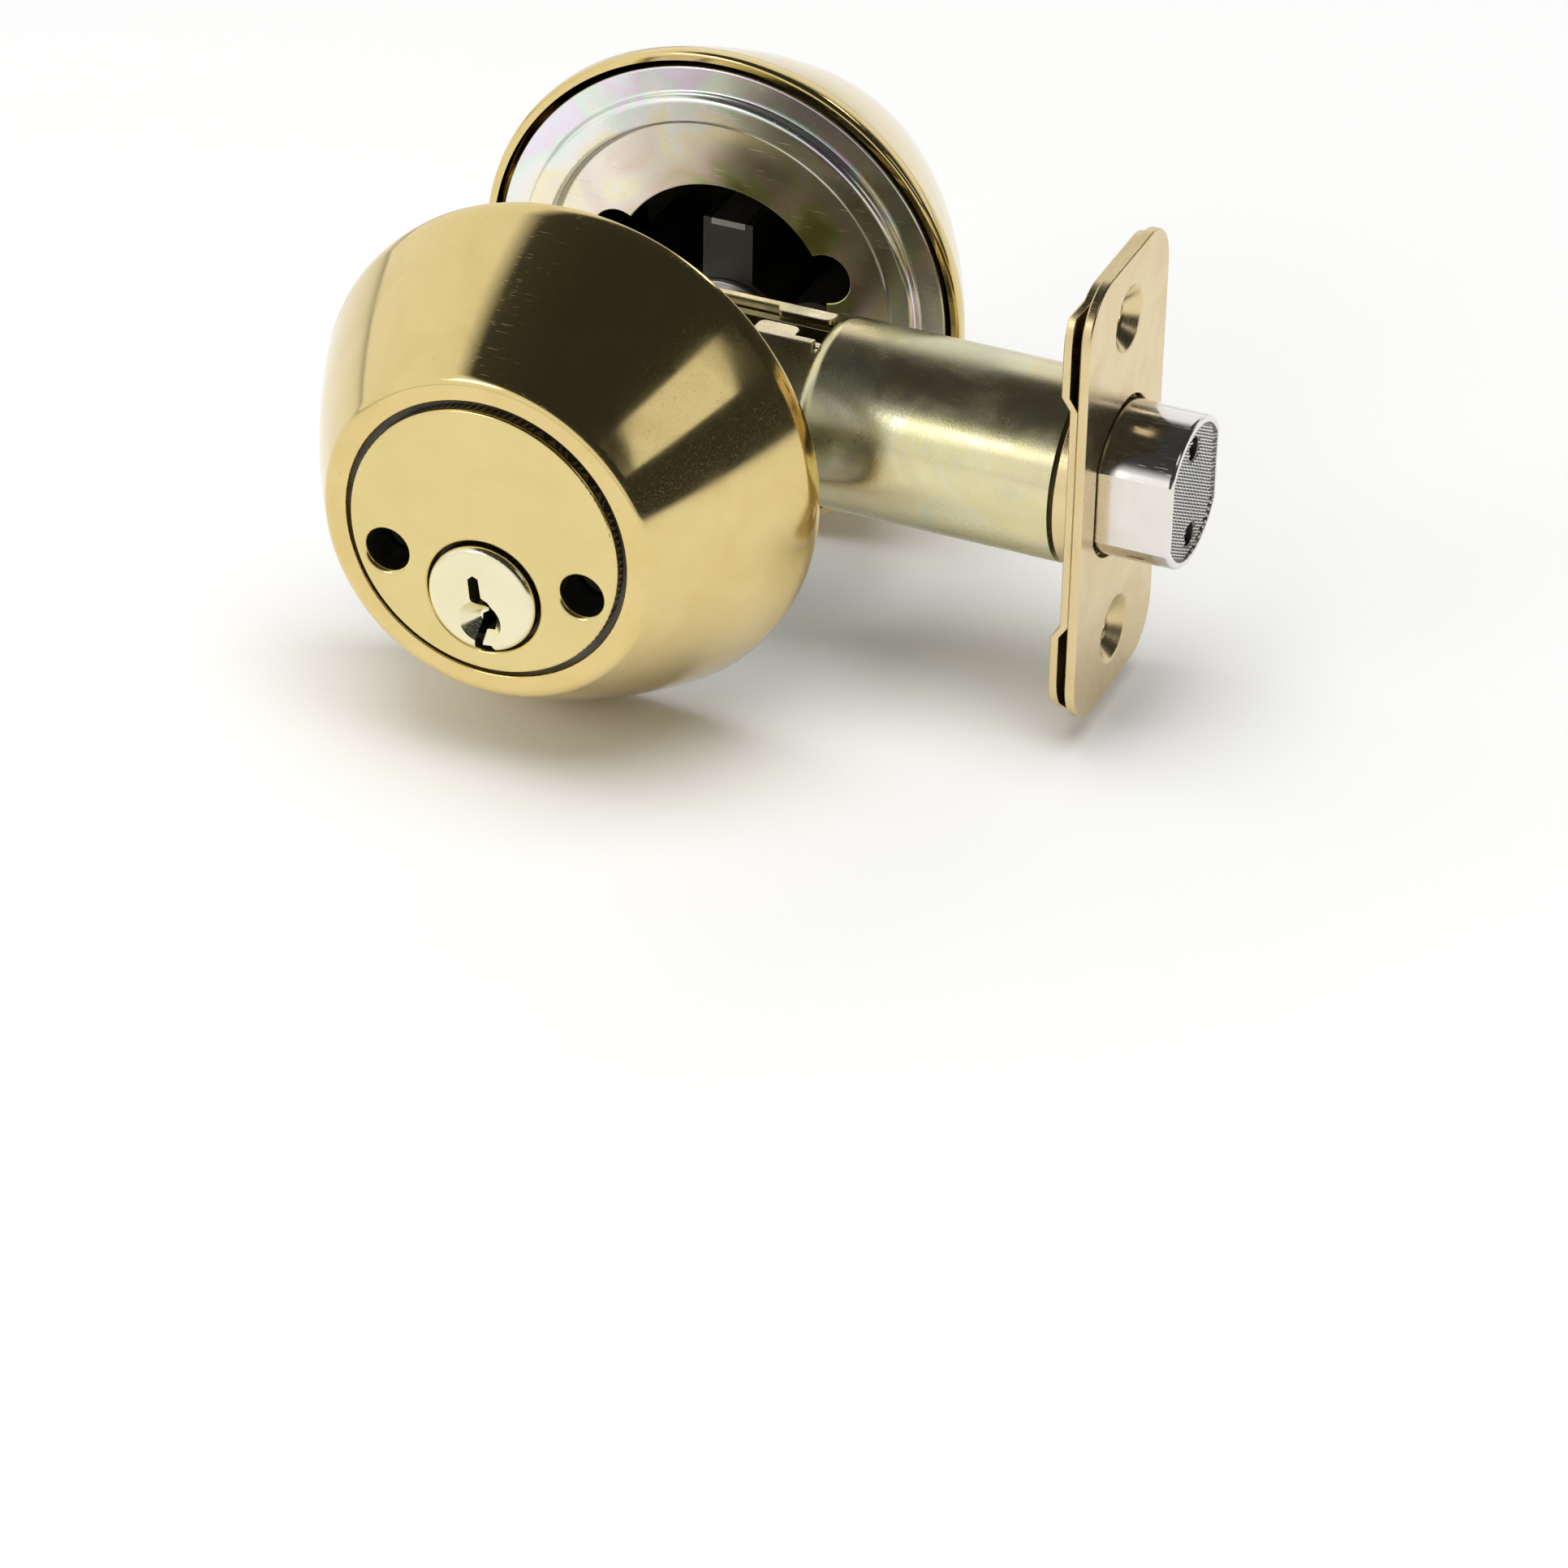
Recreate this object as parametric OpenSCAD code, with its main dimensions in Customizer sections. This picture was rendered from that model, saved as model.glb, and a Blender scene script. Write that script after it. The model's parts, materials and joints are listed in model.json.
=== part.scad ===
// Double-cylinder tubular deadbolt: two tapered collars with keyed cylinders, and a bolt unit between them.
// The origin is the centre of the door's cross bore. +X points to the door's edge, +Z up,
// -Y to the interior face and +Y to the exterior face.

/* [Door] */
// Door thickness
door_t = 42; // [36:1:46]
// Diameter of the door's cross bore
cross_bore_d = 54; // [53:0.5:58]
// Diameter of the bore in the door's edge
edge_bore_d = 25.4; // [25.4:0.1:27]
// Distance from the cross bore's centre to the door's edge
backset = 60.3; // [56:0.5:75]

/* [Collars] */
// Largest diameter of a collar, at the door
collar_d = 63; // [62:0.5:80]
// Height of a collar above the door
collar_depth = 23.5; // [22.5:0.5:32]
// Wall of the collar shell
collar_wall = 1.1; // [0.8:0.1:1.4]
// Outer diameter of the flat ring at the front of the collar
ring_outer_d = 42; // [40:0.5:46]
// Diameter of the opening in the ring
ring_hole_d = 35.2; // [34.5:0.1:38]
// Outward bulge of the collar's tapered side
collar_bulge = 0.6; // [0.2:0.1:1.6]
// Height of the straight band at the collar's rim
rim_band = 1.6; // [1:0.1:3]

/* [Cylinder] */
// Diameter of the cylinder's face
face_d = 33.6; // [32:0.1:36]
// Height of the cylinder's face above the ring
face_proud = 0.6; // [0.2:0.1:1.5]
// Diameter of the flange that holds the collar on
flange_d = 38; // [36.5:0.5:39.4]
// Thickness of that flange
flange_t = 2; // [1.5:0.1:3]
// Wall of the barrel around the plug
barrel_wall = 1.85; // [1.5:0.05:2.5]
// Distance of the plug's axis below the collar's centre
plug_drop = 7.2; // [6:0.1:8]
// Width of the pin tower
tower_w = 6.5; // [5.5:0.1:8]

/* [Plug] */
// Diameter of the plug
plug_d = 12.7; // [12:0.1:15.3]
// How far the plug's head stands out past its body, all round
plug_head_step = 0.35; // [0.2:0.05:0.6]
// Length of the plug's head
plug_head_l = 3; // [2:0.1:3.6]
// Height of the plug's face above the cylinder's face
plug_proud = 0.9; // [0.3:0.1:1.5]
// Width of the keyway
keyway_w = 1.25; // [1:0.05:1.5]
// Number of pin chambers
pin_count = 5; // [3:1:5]
// Diameter of a pin
pin_d = 2.9; // [2.6:0.1:3]
// Length of a driver pin
driver_l = 3.8; // [3:0.1:4]
// Length of a pressed pin spring
spring_l = 4.65; // [3.6:0.05:5.5]

/* [Bolt] */
// Diameter of the bolt
bolt_d = 18.5; // [15.4:0.1:18.6]
// Depth of each of the bolt's two flats
bolt_flat_cut = 1.2; // [0.6:0.1:1.8]
// Length of the bolt
bolt_l = 34; // [32:0.5:36]
// Travel of the bolt
bolt_throw = 25.4; // [21:0.1:25.4]
// How far the bolt stands out as drawn
bolt_out = 9; // [8:0.1:12]
// Angle that the cam turns through over the whole travel
cam_sweep = 100; // [90:1:104]
// Diameter of a hardened rod in the bolt
rod_d = 2.8; // [2:0.1:3]
// Distance from a hardened rod's axis to the bolt's round side
rod_inset = 3.55; // [2.6:0.05:4]

/* [Bolt unit] */
// Outer diameter of the tube
tube_d = 22.8; // [22.4:0.1:24]
// Wall of the tube
tube_wall = 0.9; // [0.6:0.1:1]
// Distance from the cross bore's centre to the tube's inner end
tube_start = 23; // [22:0.5:26]
// Width of the faceplate
plate_w = 25.4; // [24:0.2:32]
// Height of the faceplate
plate_h = 57.15; // [55:0.5:64]
// Corner radius of the faceplate
plate_corner = 6.35; // [3:0.1:12]
// Thickness of the faceplate
plate_t = 1.2; // [1:0.1:1.6]
// Thickness of the plate behind it
back_t = 1; // [0.8:0.1:1.4]
// Distance between the two face screw holes
screw_pitch = 41.3; // [40:0.1:46]
// Diameter of a face screw hole
screw_hole_d = 4.9; // [4:0.1:5.2]
// Diameter of the countersink's rim
countersink_d = 8.3; // [7.6:0.1:9]
// Distance between the outer faces of the two case plates
case_w = 7.8; // [7.4:0.1:8.2]
// Thickness of a case plate
case_t = 1; // [0.8:0.1:1]

/* [Fasteners] */
// Distance between the two through bolts
through_pitch = 24.5; // [24:0.1:25.5]
// Distance of the through bolts below the collar's centre
through_drop = 4.1; // [3.6:0.1:5]
// Diameter of a through bolt
through_d = 3.5; // [3.2:0.1:3.8]
// Diameter of a through bolt's head
through_head_d = 4.8; // [4.4:0.1:5.4]
// Depth of the head's seat below the cylinder's face
seat_depth = 8; // [6:0.5:10]
// Diameter of a threaded post
post_d = 6; // [5.6:0.1:6.4]

/* [Fits] */
// Radial clearance of a turning fit
turn_gap = 0.07; // [0.03:0.01:0.1]
// Clearance between pieces that slide past each other
slide_gap = 0.3; // [0.25:0.05:0.4]
// Clearance between pieces that are assembled once
seat_gap = 0.05; // [0.02:0.01:0.1]

/* [Hidden] */
$fn = 96;
eps = 0.01;

// Finishes
BRASS = "#d9b66b";
NICKEL = "#d8d2c4";
ZINC_YELLOW = "#b7a56a";
DIE_CAST = "#5b5a58";
STEEL = "#9a9a9c";
SPRING_STEEL = "#7c7f84";

// Heights of one half, measured outwards from the door's face
collar_r = collar_d / 2;
ring_r = ring_outer_d / 2;
ring_edge_r = 1.8;
rim_edge_r = 0.55;
face_h = collar_depth + face_proud;
flange_top = collar_depth - collar_wall;
flange_bottom = flange_top - flange_t;
face_edge_r = 0.4;
plug_lip_r = 0.5;
head_gap = 0.4;
bush_h = face_h - plug_head_l + plug_proud;
plug_top = face_h + plug_proud;
plug_edge_r = 0.85;
dimple_depth = 1.8;
plug_r = plug_d / 2;
plug_head_d = plug_d + 2 * plug_head_step;
barrel_d = plug_d + 2 * barrel_wall;

// Backing plate: a flat rim, a raised bead that centres it in the cross bore, and a lobed opening
sheet_t = 1;
backing_gap = 0.3;
backing_r = collar_r - collar_wall - 0.9;
bead_outer_r = cross_bore_d / 2 - 0.8;
bead_w = 3.8;
bead_h = 1.4;
backing_back = backing_gap + sheet_t;

// Through bolts and posts
through_x = through_pitch / 2;
boss_r = 4.6;
head_bore_r = through_head_d / 2 + 0.2;
shank_bore_r = through_d / 2 + 0.25;
screw_lip_r = min(0.8, face_d / 2 - face_edge_r - norm([through_x, through_drop]) - head_bore_r - 0.05);
head_h = 2.5;
post_end_y = 6;
post_depth = 8;
bolt_grip = 14;
lobe_angle = atan2(through_drop, through_x);
lobe_r = post_d / 2 + 0.2;
lobe_reach = norm([through_x, through_drop]) + 1.6;

// Pin chambers
chamber_r = pin_d / 2 + turn_gap;
chamber_wall = 0.5;
cap_flange_t = 0.8;
axial_gap = 0.1;
barrel_end = backing_back + slide_gap + cap_flange_t + axial_gap;
first_pin = flange_bottom - pin_d / 2 - 0.2;
last_pin = barrel_end + chamber_wall + chamber_r;
pin_pitch = (first_pin - last_pin) / (pin_count - 1);
shear_z = plug_r;
key_pin_reach = 1.2;
cover_t = 0.8;
cover_w = 4.4;
cover_inset = 0.6;
spring_wire = 0.4;
spring_turns = 4;
spring_base = shear_z + driver_l;
tower_floor = spring_base + spring_l;
tower_top = tower_floor + cover_t - plug_drop;

// Plug's tail, its cap and the lost-motion drive
neck_r = plug_r - 1.15;
neck_end = -1.4;
cap_wall = 0.95;
cap_back_t = 0.8;
cap_flange_r = plug_r + 1.25;
disc_t = 0.8;
disc_r = neck_r - 0.35;
cap_end = neck_end - disc_t - 2 * axial_gap;
pocket_in_r = 1.5;
pocket_out_r = neck_r - 1.1;
pocket_depth = 2.1;
drive_arc = 30;
tab_gap = 0.2;
blade_w = 5;
blade_t = 1.8;
blade_hole_r = 2.9;
blade_gap = 0.2;
opening_r = plug_drop + neck_r + cap_wall + 0.65;

// Cam and its rest angle, from straight up towards +X
cam_r = bolt_throw / 2 / sin(cam_sweep / 2);
cam_rest = -cam_sweep / 2 + cam_sweep * bolt_out / bolt_throw;
cam_pin_r = 1.4;
cam_t = 2.6;
hub_r = 4.4;
journal_r = 3.5;
hub_reach = 1.3;
arm_w = 5.2;
notch_play = 0.75;

// Bolt unit, along X
plate_gap = 0.05;
plate_back = backset - plate_t;
back_front = plate_back - plate_gap;
back_back = back_front - back_t;
neck_len = 2;
joint_gap = 0.6;
tube_r = tube_d / 2;
tube_in_r = tube_r - tube_wall;
tube_end = back_back - neck_len - joint_gap;
tube_round = 2.2;
sleeve_l = 8;
bolt_tip = backset + bolt_out;
bolt_rear = bolt_tip - bolt_l;
bolt_r = bolt_d / 2;
bolt_flats = bolt_d - 2 * bolt_flat_cut;
rod_spacing = bolt_d - 2 * rod_inset;
bolt_edge = 0.5;
stud_border = 0.9;
stud_recess = 0.45;
rod_l = 21;
rod_recess = 2;
sink_h = 1.05;
pocket_back = 1.1;
pocket_half = 6.4;
pocket_ramp = 1.6;
pocket_from = screw_pitch / 2 - pocket_half;
pocket_to = screw_pitch / 2 + pocket_half;

// Case
case_end = min(tube_start + 4.5, bolt_rear - bolt_out - slide_gap);
case_left = -9;
case_half_h = 10.6;
case_bottom = -min(sqrt(pow(edge_bore_d / 2, 2) - pow(case_w / 2, 2)) - 0.3, plug_drop + hub_r + 0.2);
case_neck_h = 9.4;
case_in = case_w / 2 - case_t;
tab_t = 0.8;
tab_w = 3;
far_tab_w = 2;
rivet_r = 1.1;
rivet_head_r = 1.9;
rivet_head_h = 0.6;
rivet_low_z = case_bottom + rivet_head_r + 0.2;
rivet_spots = [[-6.9, rivet_low_z], [6.9, rivet_low_z], [19.5, -4.2], [19.5, -8.6]];

// Bolt tail: two straps joined behind the cam
strap_out = case_in - slide_gap;
strap_t = 1.1;
strap_low = -1.2;
strap_high = case_half_h - tab_t - slide_gap - 0.1;
strap_root_h = 4;
strap_root_l = 8;
crank_x = bolt_rear - 3.8;
crank_l = 3;
notch_x = bolt_out - bolt_throw / 2;
notch_floor = cam_r * cos(cam_sweep / 2) - plug_drop - cam_pin_r - 0.45;
strap_end = notch_x - cam_pin_r - notch_play - 2.8;
tail_rivet_x = bolt_rear + 4.2;
tail_rivet_r = 1.5;
detent_x = 15.7;
detent_depth = 0.6;

// Points along an arc, from angle a to angle b
function arc(cx, cy, r, a, b, n = 12) = [for (i = [0:n]) let (t = a + (b - a) * i / n)
    [cx + r * cos(t), cy + r * sin(t)]];
// Points from p to q that bow out to the right of the way by s
function bow(p, q, s, n = 20) = [for (i = [1:n - 1]) let (t = i / n, d = q - p, l = norm(d),
    w = 4 * s * t * (1 - t)) p + d * t + [d[1], -d[0]] / l * w];

// Bodies that are the same on both sides of the door
module exterior() {
    mirror([0, 1, 0])
        children();
}

// Height h above the interior face of the door, with local Z pointing away from the door
module from_door(h = 0) {
    translate([0, -door_t / 2 - h, 0])
        rotate([90, 0, 0])
            children();
}

module at_plug(h = 0) {
    from_door(h)
        translate([0, -plug_drop, 0])
            children();
}

// The two through bolts' places, in the collar's plane
module at_through() {
    for (side = [-1, 1])
        translate([side * through_x, -through_drop, 0])
            children();
}

module rounded_plate(w, h, r) {
    square([w - 2 * r, h], center = true);
    square([w, h - 2 * r], center = true);
    for (x = [-1, 1], y = [-1, 1])
        translate([x * (w / 2 - r), y * (h / 2 - r)])
            circle(r);
}

// Half section of the collar's outside; the hollow is the same shape drawn in by inset, open at the door
module collar_section(inset = 0) {
    open_end = inset > 0 ? -1 : 0;
    edge = max(ring_edge_r - inset, 0.3);
    side_low = [collar_r - inset, rim_band + inset];
    crown = arc(ring_r - inset - edge, collar_depth - inset - edge, edge, 28, 90, 8);
    polygon(concat(
        [[0, open_end], [collar_r - inset - rim_edge_r, open_end]],
        arc(collar_r - inset - rim_edge_r, rim_edge_r, rim_edge_r, -90, 0, 6),
        [side_low],
        bow(side_low, crown[0], collar_bulge),
        crown,
        [[0, collar_depth - inset]]
    ));
}

module collar() {
    color(BRASS)
        from_door()
            difference() {
                rotate_extrude()
                    collar_section();
                rotate_extrude()
                    collar_section(collar_wall);
                translate([0, 0, collar_depth - 2 * collar_wall])
                    cylinder(d = ring_hole_d, h = 3 * collar_wall);
            }
}

// Hole through the face with a rounded lip: a plain bore, and a ring-shaped relief at its mouth
module lipped_bore(r, depth, top, lip) {
    translate([0, 0, top - depth])
        cylinder(r = r, h = depth + eps);
    translate([0, 0, top - lip])
        rotate_extrude()
            difference() {
                square([r + lip, lip + eps]);
                translate([r + lip, 0])
                    circle(lip);
            }
}

module face_disc() {
    rotate_extrude() {
        square([face_d / 2 - face_edge_r, face_h]);
        square([face_d / 2, face_h - face_edge_r]);
        translate([face_d / 2 - face_edge_r, face_h - face_edge_r])
            circle(face_edge_r);
    }
}

// Interior housing; the exterior one has blind seats for the posts in place of the bolt holes
module housing(has_posts) {
    color(DIE_CAST)
        difference() {
            union() {
                from_door()
                    intersection() {
                        face_disc();
                        translate([0, 0, flange_bottom])
                            cylinder(r = collar_r, h = face_h);
                    }
                from_door(flange_bottom)
                    cylinder(d = flange_d, h = flange_t);
                at_plug(barrel_end)
                    cylinder(d = barrel_d, h = flange_top - barrel_end);
                from_door(barrel_end)
                    translate([-tower_w / 2, -plug_drop, 0])
                        cube([tower_w, tower_top + plug_drop, flange_bottom - barrel_end + eps]);
                from_door(backing_back)
                    at_through()
                        cylinder(r = boss_r, h = flange_bottom - backing_back + eps);
            }
            at_plug(barrel_end - 1)
                cylinder(r = plug_d / 2 + turn_gap, h = face_h);
            at_plug()
                lipped_bore(plug_head_d / 2 + head_gap, face_h - bush_h + axial_gap, face_h, plug_lip_r);
            if (has_posts)
                from_door(backing_back - eps)
                    at_through()
                        cylinder(r = post_d / 2 + seat_gap, h = post_depth + eps);
            else
                from_door() {
                    at_through()
                        lipped_bore(head_bore_r, seat_depth, face_h, screw_lip_r);
                    at_through()
                        cylinder(r = shank_bore_r, h = face_h);
                }
            for (i = [0:pin_count - 1])
                at_plug(first_pin - i * pin_pitch)
                    rotate([-90, 0, 0])
                        cylinder(r = chamber_r, h = tower_top + plug_drop + 1);
            from_door(barrel_end - eps)
                translate([-cover_w / 2 - seat_gap, tower_top - cover_t, 0])
                    cube([cover_w + 2 * seat_gap, cover_t + 1, flange_bottom - barrel_end - cover_inset]);
        }
}

// Outline of the keyway in the plug's plane: a leaning slot, then steps that run out at the bottom
module keyway() {
    scale([keyway_w / 1.25, plug_d / 12.7])
        polygon([
            [-1.5, 2.5], [-0.9, 3.1], [-0.2, 2.8], [0.15, 0.4], [1, 0], [1.85, -1], [1.65, -3.8],
            [0.45, -4.2], [0.4, -5.7], [1.5, -5.6], [2, -6.4], [2, -7.5], [-0.5, -7.5], [-0.65, -6],
            [-0.4, -2.65], [1.05, -1.6], [0.9, -1], [-0.25, -1], [-0.7, -0.85], [-1.25, 0]
        ]);
}

module plug() {
    color(NICKEL)
        difference() {
            union() {
                at_plug()
                    rotate_extrude() {
                        translate([0, bush_h])
                            square([plug_head_d / 2 - plug_edge_r, plug_top - bush_h]);
                        translate([0, bush_h])
                            square([plug_head_d / 2, plug_top - bush_h - plug_edge_r]);
                        translate([plug_head_d / 2 - plug_edge_r, plug_top - plug_edge_r])
                            circle(plug_edge_r);
                    }
                at_plug(barrel_end)
                    cylinder(d = plug_d, h = bush_h - barrel_end + eps);
                at_plug(neck_end)
                    cylinder(r = neck_r, h = barrel_end - neck_end + eps);
            }
            at_plug(barrel_end + 1.2)
                linear_extrude(plug_top)
                    keyway();
            at_plug(plug_top - dimple_depth)
                translate([0, -plug_d * 0.22, 0])
                    cylinder(r1 = plug_d * 0.06, r2 = plug_d * 0.21, h = dimple_depth + eps);
            for (i = [0:pin_count - 1])
                at_plug(first_pin - i * pin_pitch)
                    rotate([-90, 0, 0])
                        cylinder(r = chamber_r, h = plug_d);
            drive_pocket();
        }
}

// Ring-shaped pocket in the plug's rear end, less the lug that drives the tailpiece
module drive_pocket() {
    at_plug(neck_end - eps)
        difference() {
            ring_sector(pocket_in_r, pocket_out_r, pocket_depth + eps, 0, 360);
            translate([0, 0, -1])
                ring_sector(pocket_in_r - 1, pocket_out_r + 1, pocket_depth + 3, 180, drive_arc);
        }
}

// Sector of a ring, middle degrees from straight up towards +X and arc_deg wide
module ring_sector(r_in, r_out, h, middle, arc_deg) {
    rotate([0, 0, 90 - middle - arc_deg / 2])
        rotate_extrude(angle = arc_deg)
            translate([r_in, 0])
                square([r_out - r_in, h]);
}

module plug_cap() {
    color(NICKEL)
        at_plug()
            difference() {
                union() {
                    translate([0, 0, barrel_end - axial_gap - cap_flange_t])
                        cylinder(r = cap_flange_r, h = cap_flange_t);
                    translate([0, 0, cap_end - cap_back_t])
                        cylinder(r = neck_r + cap_wall, h = barrel_end - axial_gap - cap_end + cap_back_t);
                }
                translate([0, 0, cap_end])
                    cylinder(r = neck_r, h = barrel_end - cap_end + 1);
                translate([0, 0, cap_end - cap_back_t - 1])
                    cylinder(r = blade_hole_r, h = cap_back_t + 2);
            }
}

// Places one pin chamber's contents along its own axis, with local Z up from the plug's centre
module at_chambers() {
    for (i = [0:pin_count - 1])
        at_plug(first_pin - i * pin_pitch)
            rotate([-90, 0, 0])
                children();
}

module key_pins() {
    color(BRASS)
        at_chambers() {
            translate([0, 0, key_pin_reach + 0.9])
                cylinder(d = pin_d, h = shear_z - key_pin_reach - 1);
            translate([0, 0, key_pin_reach])
                cylinder(r1 = 0.5, r2 = pin_d / 2, h = 0.9 + eps);
        }
}

module driver_pins() {
    color(STEEL)
        at_chambers()
            translate([0, 0, shear_z + 0.05])
                cylinder(d = pin_d, h = driver_l - 0.05);
}

// Coil spring above a driver, as one closed sweep of a four-sided wire
module pin_spring() {
    coil_r = chamber_r - spring_wire / 2 - 0.15;
    low = spring_base + spring_wire / 2 + 0.05;
    rise = tower_floor - spring_wire / 2 - 0.05 - low;
    steps = spring_turns * 8;
    corners = [[1, 0], [0, 1], [-1, 0], [0, -1]] * spring_wire / 2;
    points = [for (i = [0:steps], c = corners) let (a = 360 * spring_turns * i / steps)
        [(coil_r + c[0]) * cos(a), (coil_r + c[0]) * sin(a), low + rise * i / steps + c[1]]];
    sides = [for (i = [0:steps - 1], k = [0:3], half = [0, 1])
        let (a = 4 * i + k, b = 4 * i + (k + 1) % 4)
            half == 0 ? [a, b, b + 4] : [a, b + 4, a + 4]];
    last = 4 * steps;
    ends = [[0, 2, 1], [0, 3, 2], [last, last + 1, last + 2], [last, last + 2, last + 3]];
    polyhedron(points, concat(sides, ends));
}

module pin_springs() {
    color(SPRING_STEEL)
        at_chambers()
            pin_spring();
}

module chamber_cover() {
    color(STEEL)
        from_door(barrel_end)
            translate([-cover_w / 2, tower_top - cover_t, 0])
                cube([cover_w, cover_t, flange_bottom - barrel_end - cover_inset - seat_gap]);
}

// Flat blade with a disc inside the cap and a tab that the plug's lug pushes; it turns with the cam
module tailpiece() {
    blade_l = door_t / 2 + neck_end - axial_gap - disc_t / 2 - blade_gap;
    color(STEEL)
        at_plug(neck_end - axial_gap)
            rotate([0, 0, -cam_rest]) {
                translate([0, 0, -disc_t])
                    cylinder(r = disc_r, h = disc_t);
                ring_sector(pocket_in_r + tab_gap, pocket_out_r - tab_gap,
                    pocket_depth - axial_gap, 0, drive_arc);
                translate([-blade_t / 2, -blade_w / 2, -disc_t / 2 - blade_l])
                    cube([blade_t, blade_w, blade_l]);
            }
}

// Section of the backing plate: a flat sheet with a raised bead
module backing_section() {
    r = bead_w / 2;
    mid = bead_outer_r - r;
    translate([opening_r - lobe_r, backing_gap])
        square([mid - r - opening_r + lobe_r, sheet_t]);
    translate([mid + r, backing_gap])
        square([backing_r - mid - r, sheet_t]);
    difference() {
        bead_arch(mid, r, bead_h);
        translate([mid - r - 1, backing_gap + sheet_t])
            square([bead_w + 2, 10]);
        intersection() {
            translate([0, sheet_t])
                bead_arch(mid, r - sheet_t, bead_h);
            translate([mid - r, backing_gap - bead_h])
                square([bead_w, bead_h + sheet_t + 1]);
        }
    }
}

// Rounded arch that rises to h below the sheet's door face
module bead_arch(mid, half_w, h) {
    corner = min(1.2, half_w * 0.9);
    translate([mid - half_w, backing_gap - h + corner])
        square([2 * half_w, h - corner + sheet_t]);
    translate([mid - half_w + corner, backing_gap - h])
        square([2 * (half_w - corner), corner + eps]);
    for (side = [-1, 1])
        translate([mid + side * (half_w - corner), backing_gap - h + corner])
            circle(corner);
}

module backing_plate() {
    color(ZINC_YELLOW)
        from_door()
            difference() {
                rotate_extrude()
                    backing_section();
                translate([0, 0, -bead_h - 1]) {
                    cylinder(r = opening_r, h = bead_h + 4);
                    for (quarter = [lobe_angle, 180 - lobe_angle, 180 + lobe_angle, -lobe_angle])
                        rotate([0, 0, quarter])
                            translate([lobe_reach, 0, 0])
                                cylinder(r = lobe_r, h = bead_h + 4);
                }
            }
}

module threaded_posts() {
    color(STEEL)
        translate([0, door_t / 2 + backing_back + post_depth, 0])
            rotate([90, 0, 0])
                at_through()
                    difference() {
                        cylinder(d = post_d, h = door_t / 2 + backing_back + post_depth - post_end_y);
                        translate([0, 0, 1])
                            cylinder(d = through_d + 2 * seat_gap, h = door_t);
                    }
}

module through_bolts() {
    seat_h = face_h - seat_depth;
    color(NICKEL)
        from_door(seat_h)
            at_through()
                difference() {
                    union() {
                        cylinder(d = through_head_d, h = head_h);
                        translate([0, 0, -(seat_h + door_t / 2 + post_end_y + bolt_grip)])
                            cylinder(d = through_d, h = seat_h + door_t / 2 + post_end_y + bolt_grip + eps);
                    }
                    for (turn = [0, 90])
                        rotate([0, 0, turn])
                            translate([-through_head_d * 0.3, -0.4, head_h - 1.2])
                                cube([through_head_d * 0.6, 0.8, 2]);
                }
}

// Local Z along the bolt, from the cross bore's centre towards the door's edge
module along_bolt(x = 0) {
    translate([x, 0, 0])
        rotate([90, 0, 90])
            children();
}

module bolt_outline(grow = 0) {
    intersection() {
        circle(bolt_r + grow);
        square([bolt_flats + 2 * grow, 2 * bolt_d], center = true);
    }
}

module bolt_tube() {
    color(ZINC_YELLOW)
        along_bolt()
            difference() {
                rotate_extrude() {
                    translate([0, tube_start])
                        difference() {
                            union() {
                                translate([0, tube_round])
                                    square([tube_r, tube_end - tube_start - tube_round]);
                                square([tube_r - tube_round, tube_round + eps]);
                                translate([tube_r - tube_round, tube_round])
                                    circle(tube_round);
                            }
                            translate([0, tube_round])
                                square([tube_in_r, tube_end]);
                            translate([0, tube_wall])
                                square([tube_r - tube_round, tube_end]);
                            translate([tube_r - tube_round, tube_round])
                                circle(tube_round - tube_wall);
                        }
                }
                translate([0, 0, tube_start + tube_wall])
                    cube([case_w + 2 * seat_gap, 2 * case_neck_h + 0.4, 4 * tube_wall], center = true);
            }
}

module faceplate() {
    color(BRASS)
        along_bolt()
            difference() {
                union() {
                    translate([0, 0, plate_back])
                        linear_extrude(plate_t)
                            rounded_plate(plate_w, plate_h, plate_corner);
                    for (side = [-1, 1])
                        translate([0, side * screw_pitch / 2, plate_back - sink_h])
                            cylinder(d1 = screw_hole_d + 2, d2 = countersink_d + 1.2, h = sink_h + eps);
                }
                translate([0, 0, plate_back - 1])
                    linear_extrude(plate_t + 2)
                        bolt_outline(0.5);
                for (side = [-1, 1])
                    translate([0, side * screw_pitch / 2, 0]) {
                        translate([0, 0, plate_back - sink_h - 1])
                            cylinder(d = screw_hole_d, h = 10);
                        translate([0, 0, backset - (countersink_d - screw_hole_d) / 2])
                            cylinder(d1 = screw_hole_d, d2 = countersink_d + 2 * eps,
                                h = (countersink_d - screw_hole_d) / 2 + eps);
                    }
            }
}

// Side view of the plate behind the faceplate: it steps back around each screw's dimple
module backplate_side() {
    top = plate_h / 2 - 0.5;
    heights = [0, pocket_from, pocket_from + pocket_ramp, pocket_to - pocket_ramp, pocket_to, top];
    steps = [0, 0, pocket_back, pocket_back, 0, 0];
    n = len(heights);
    front = [for (i = [0:n - 1]) [heights[i], back_front - steps[i]]];
    back = [for (i = [n - 1:-1:0]) [heights[i], back_back - steps[i]]];
    for (flip = [0, 1])
        mirror([flip, 0])
            polygon(concat([[-eps, back_front]], front, back, [[-eps, back_back]]));
}

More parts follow.
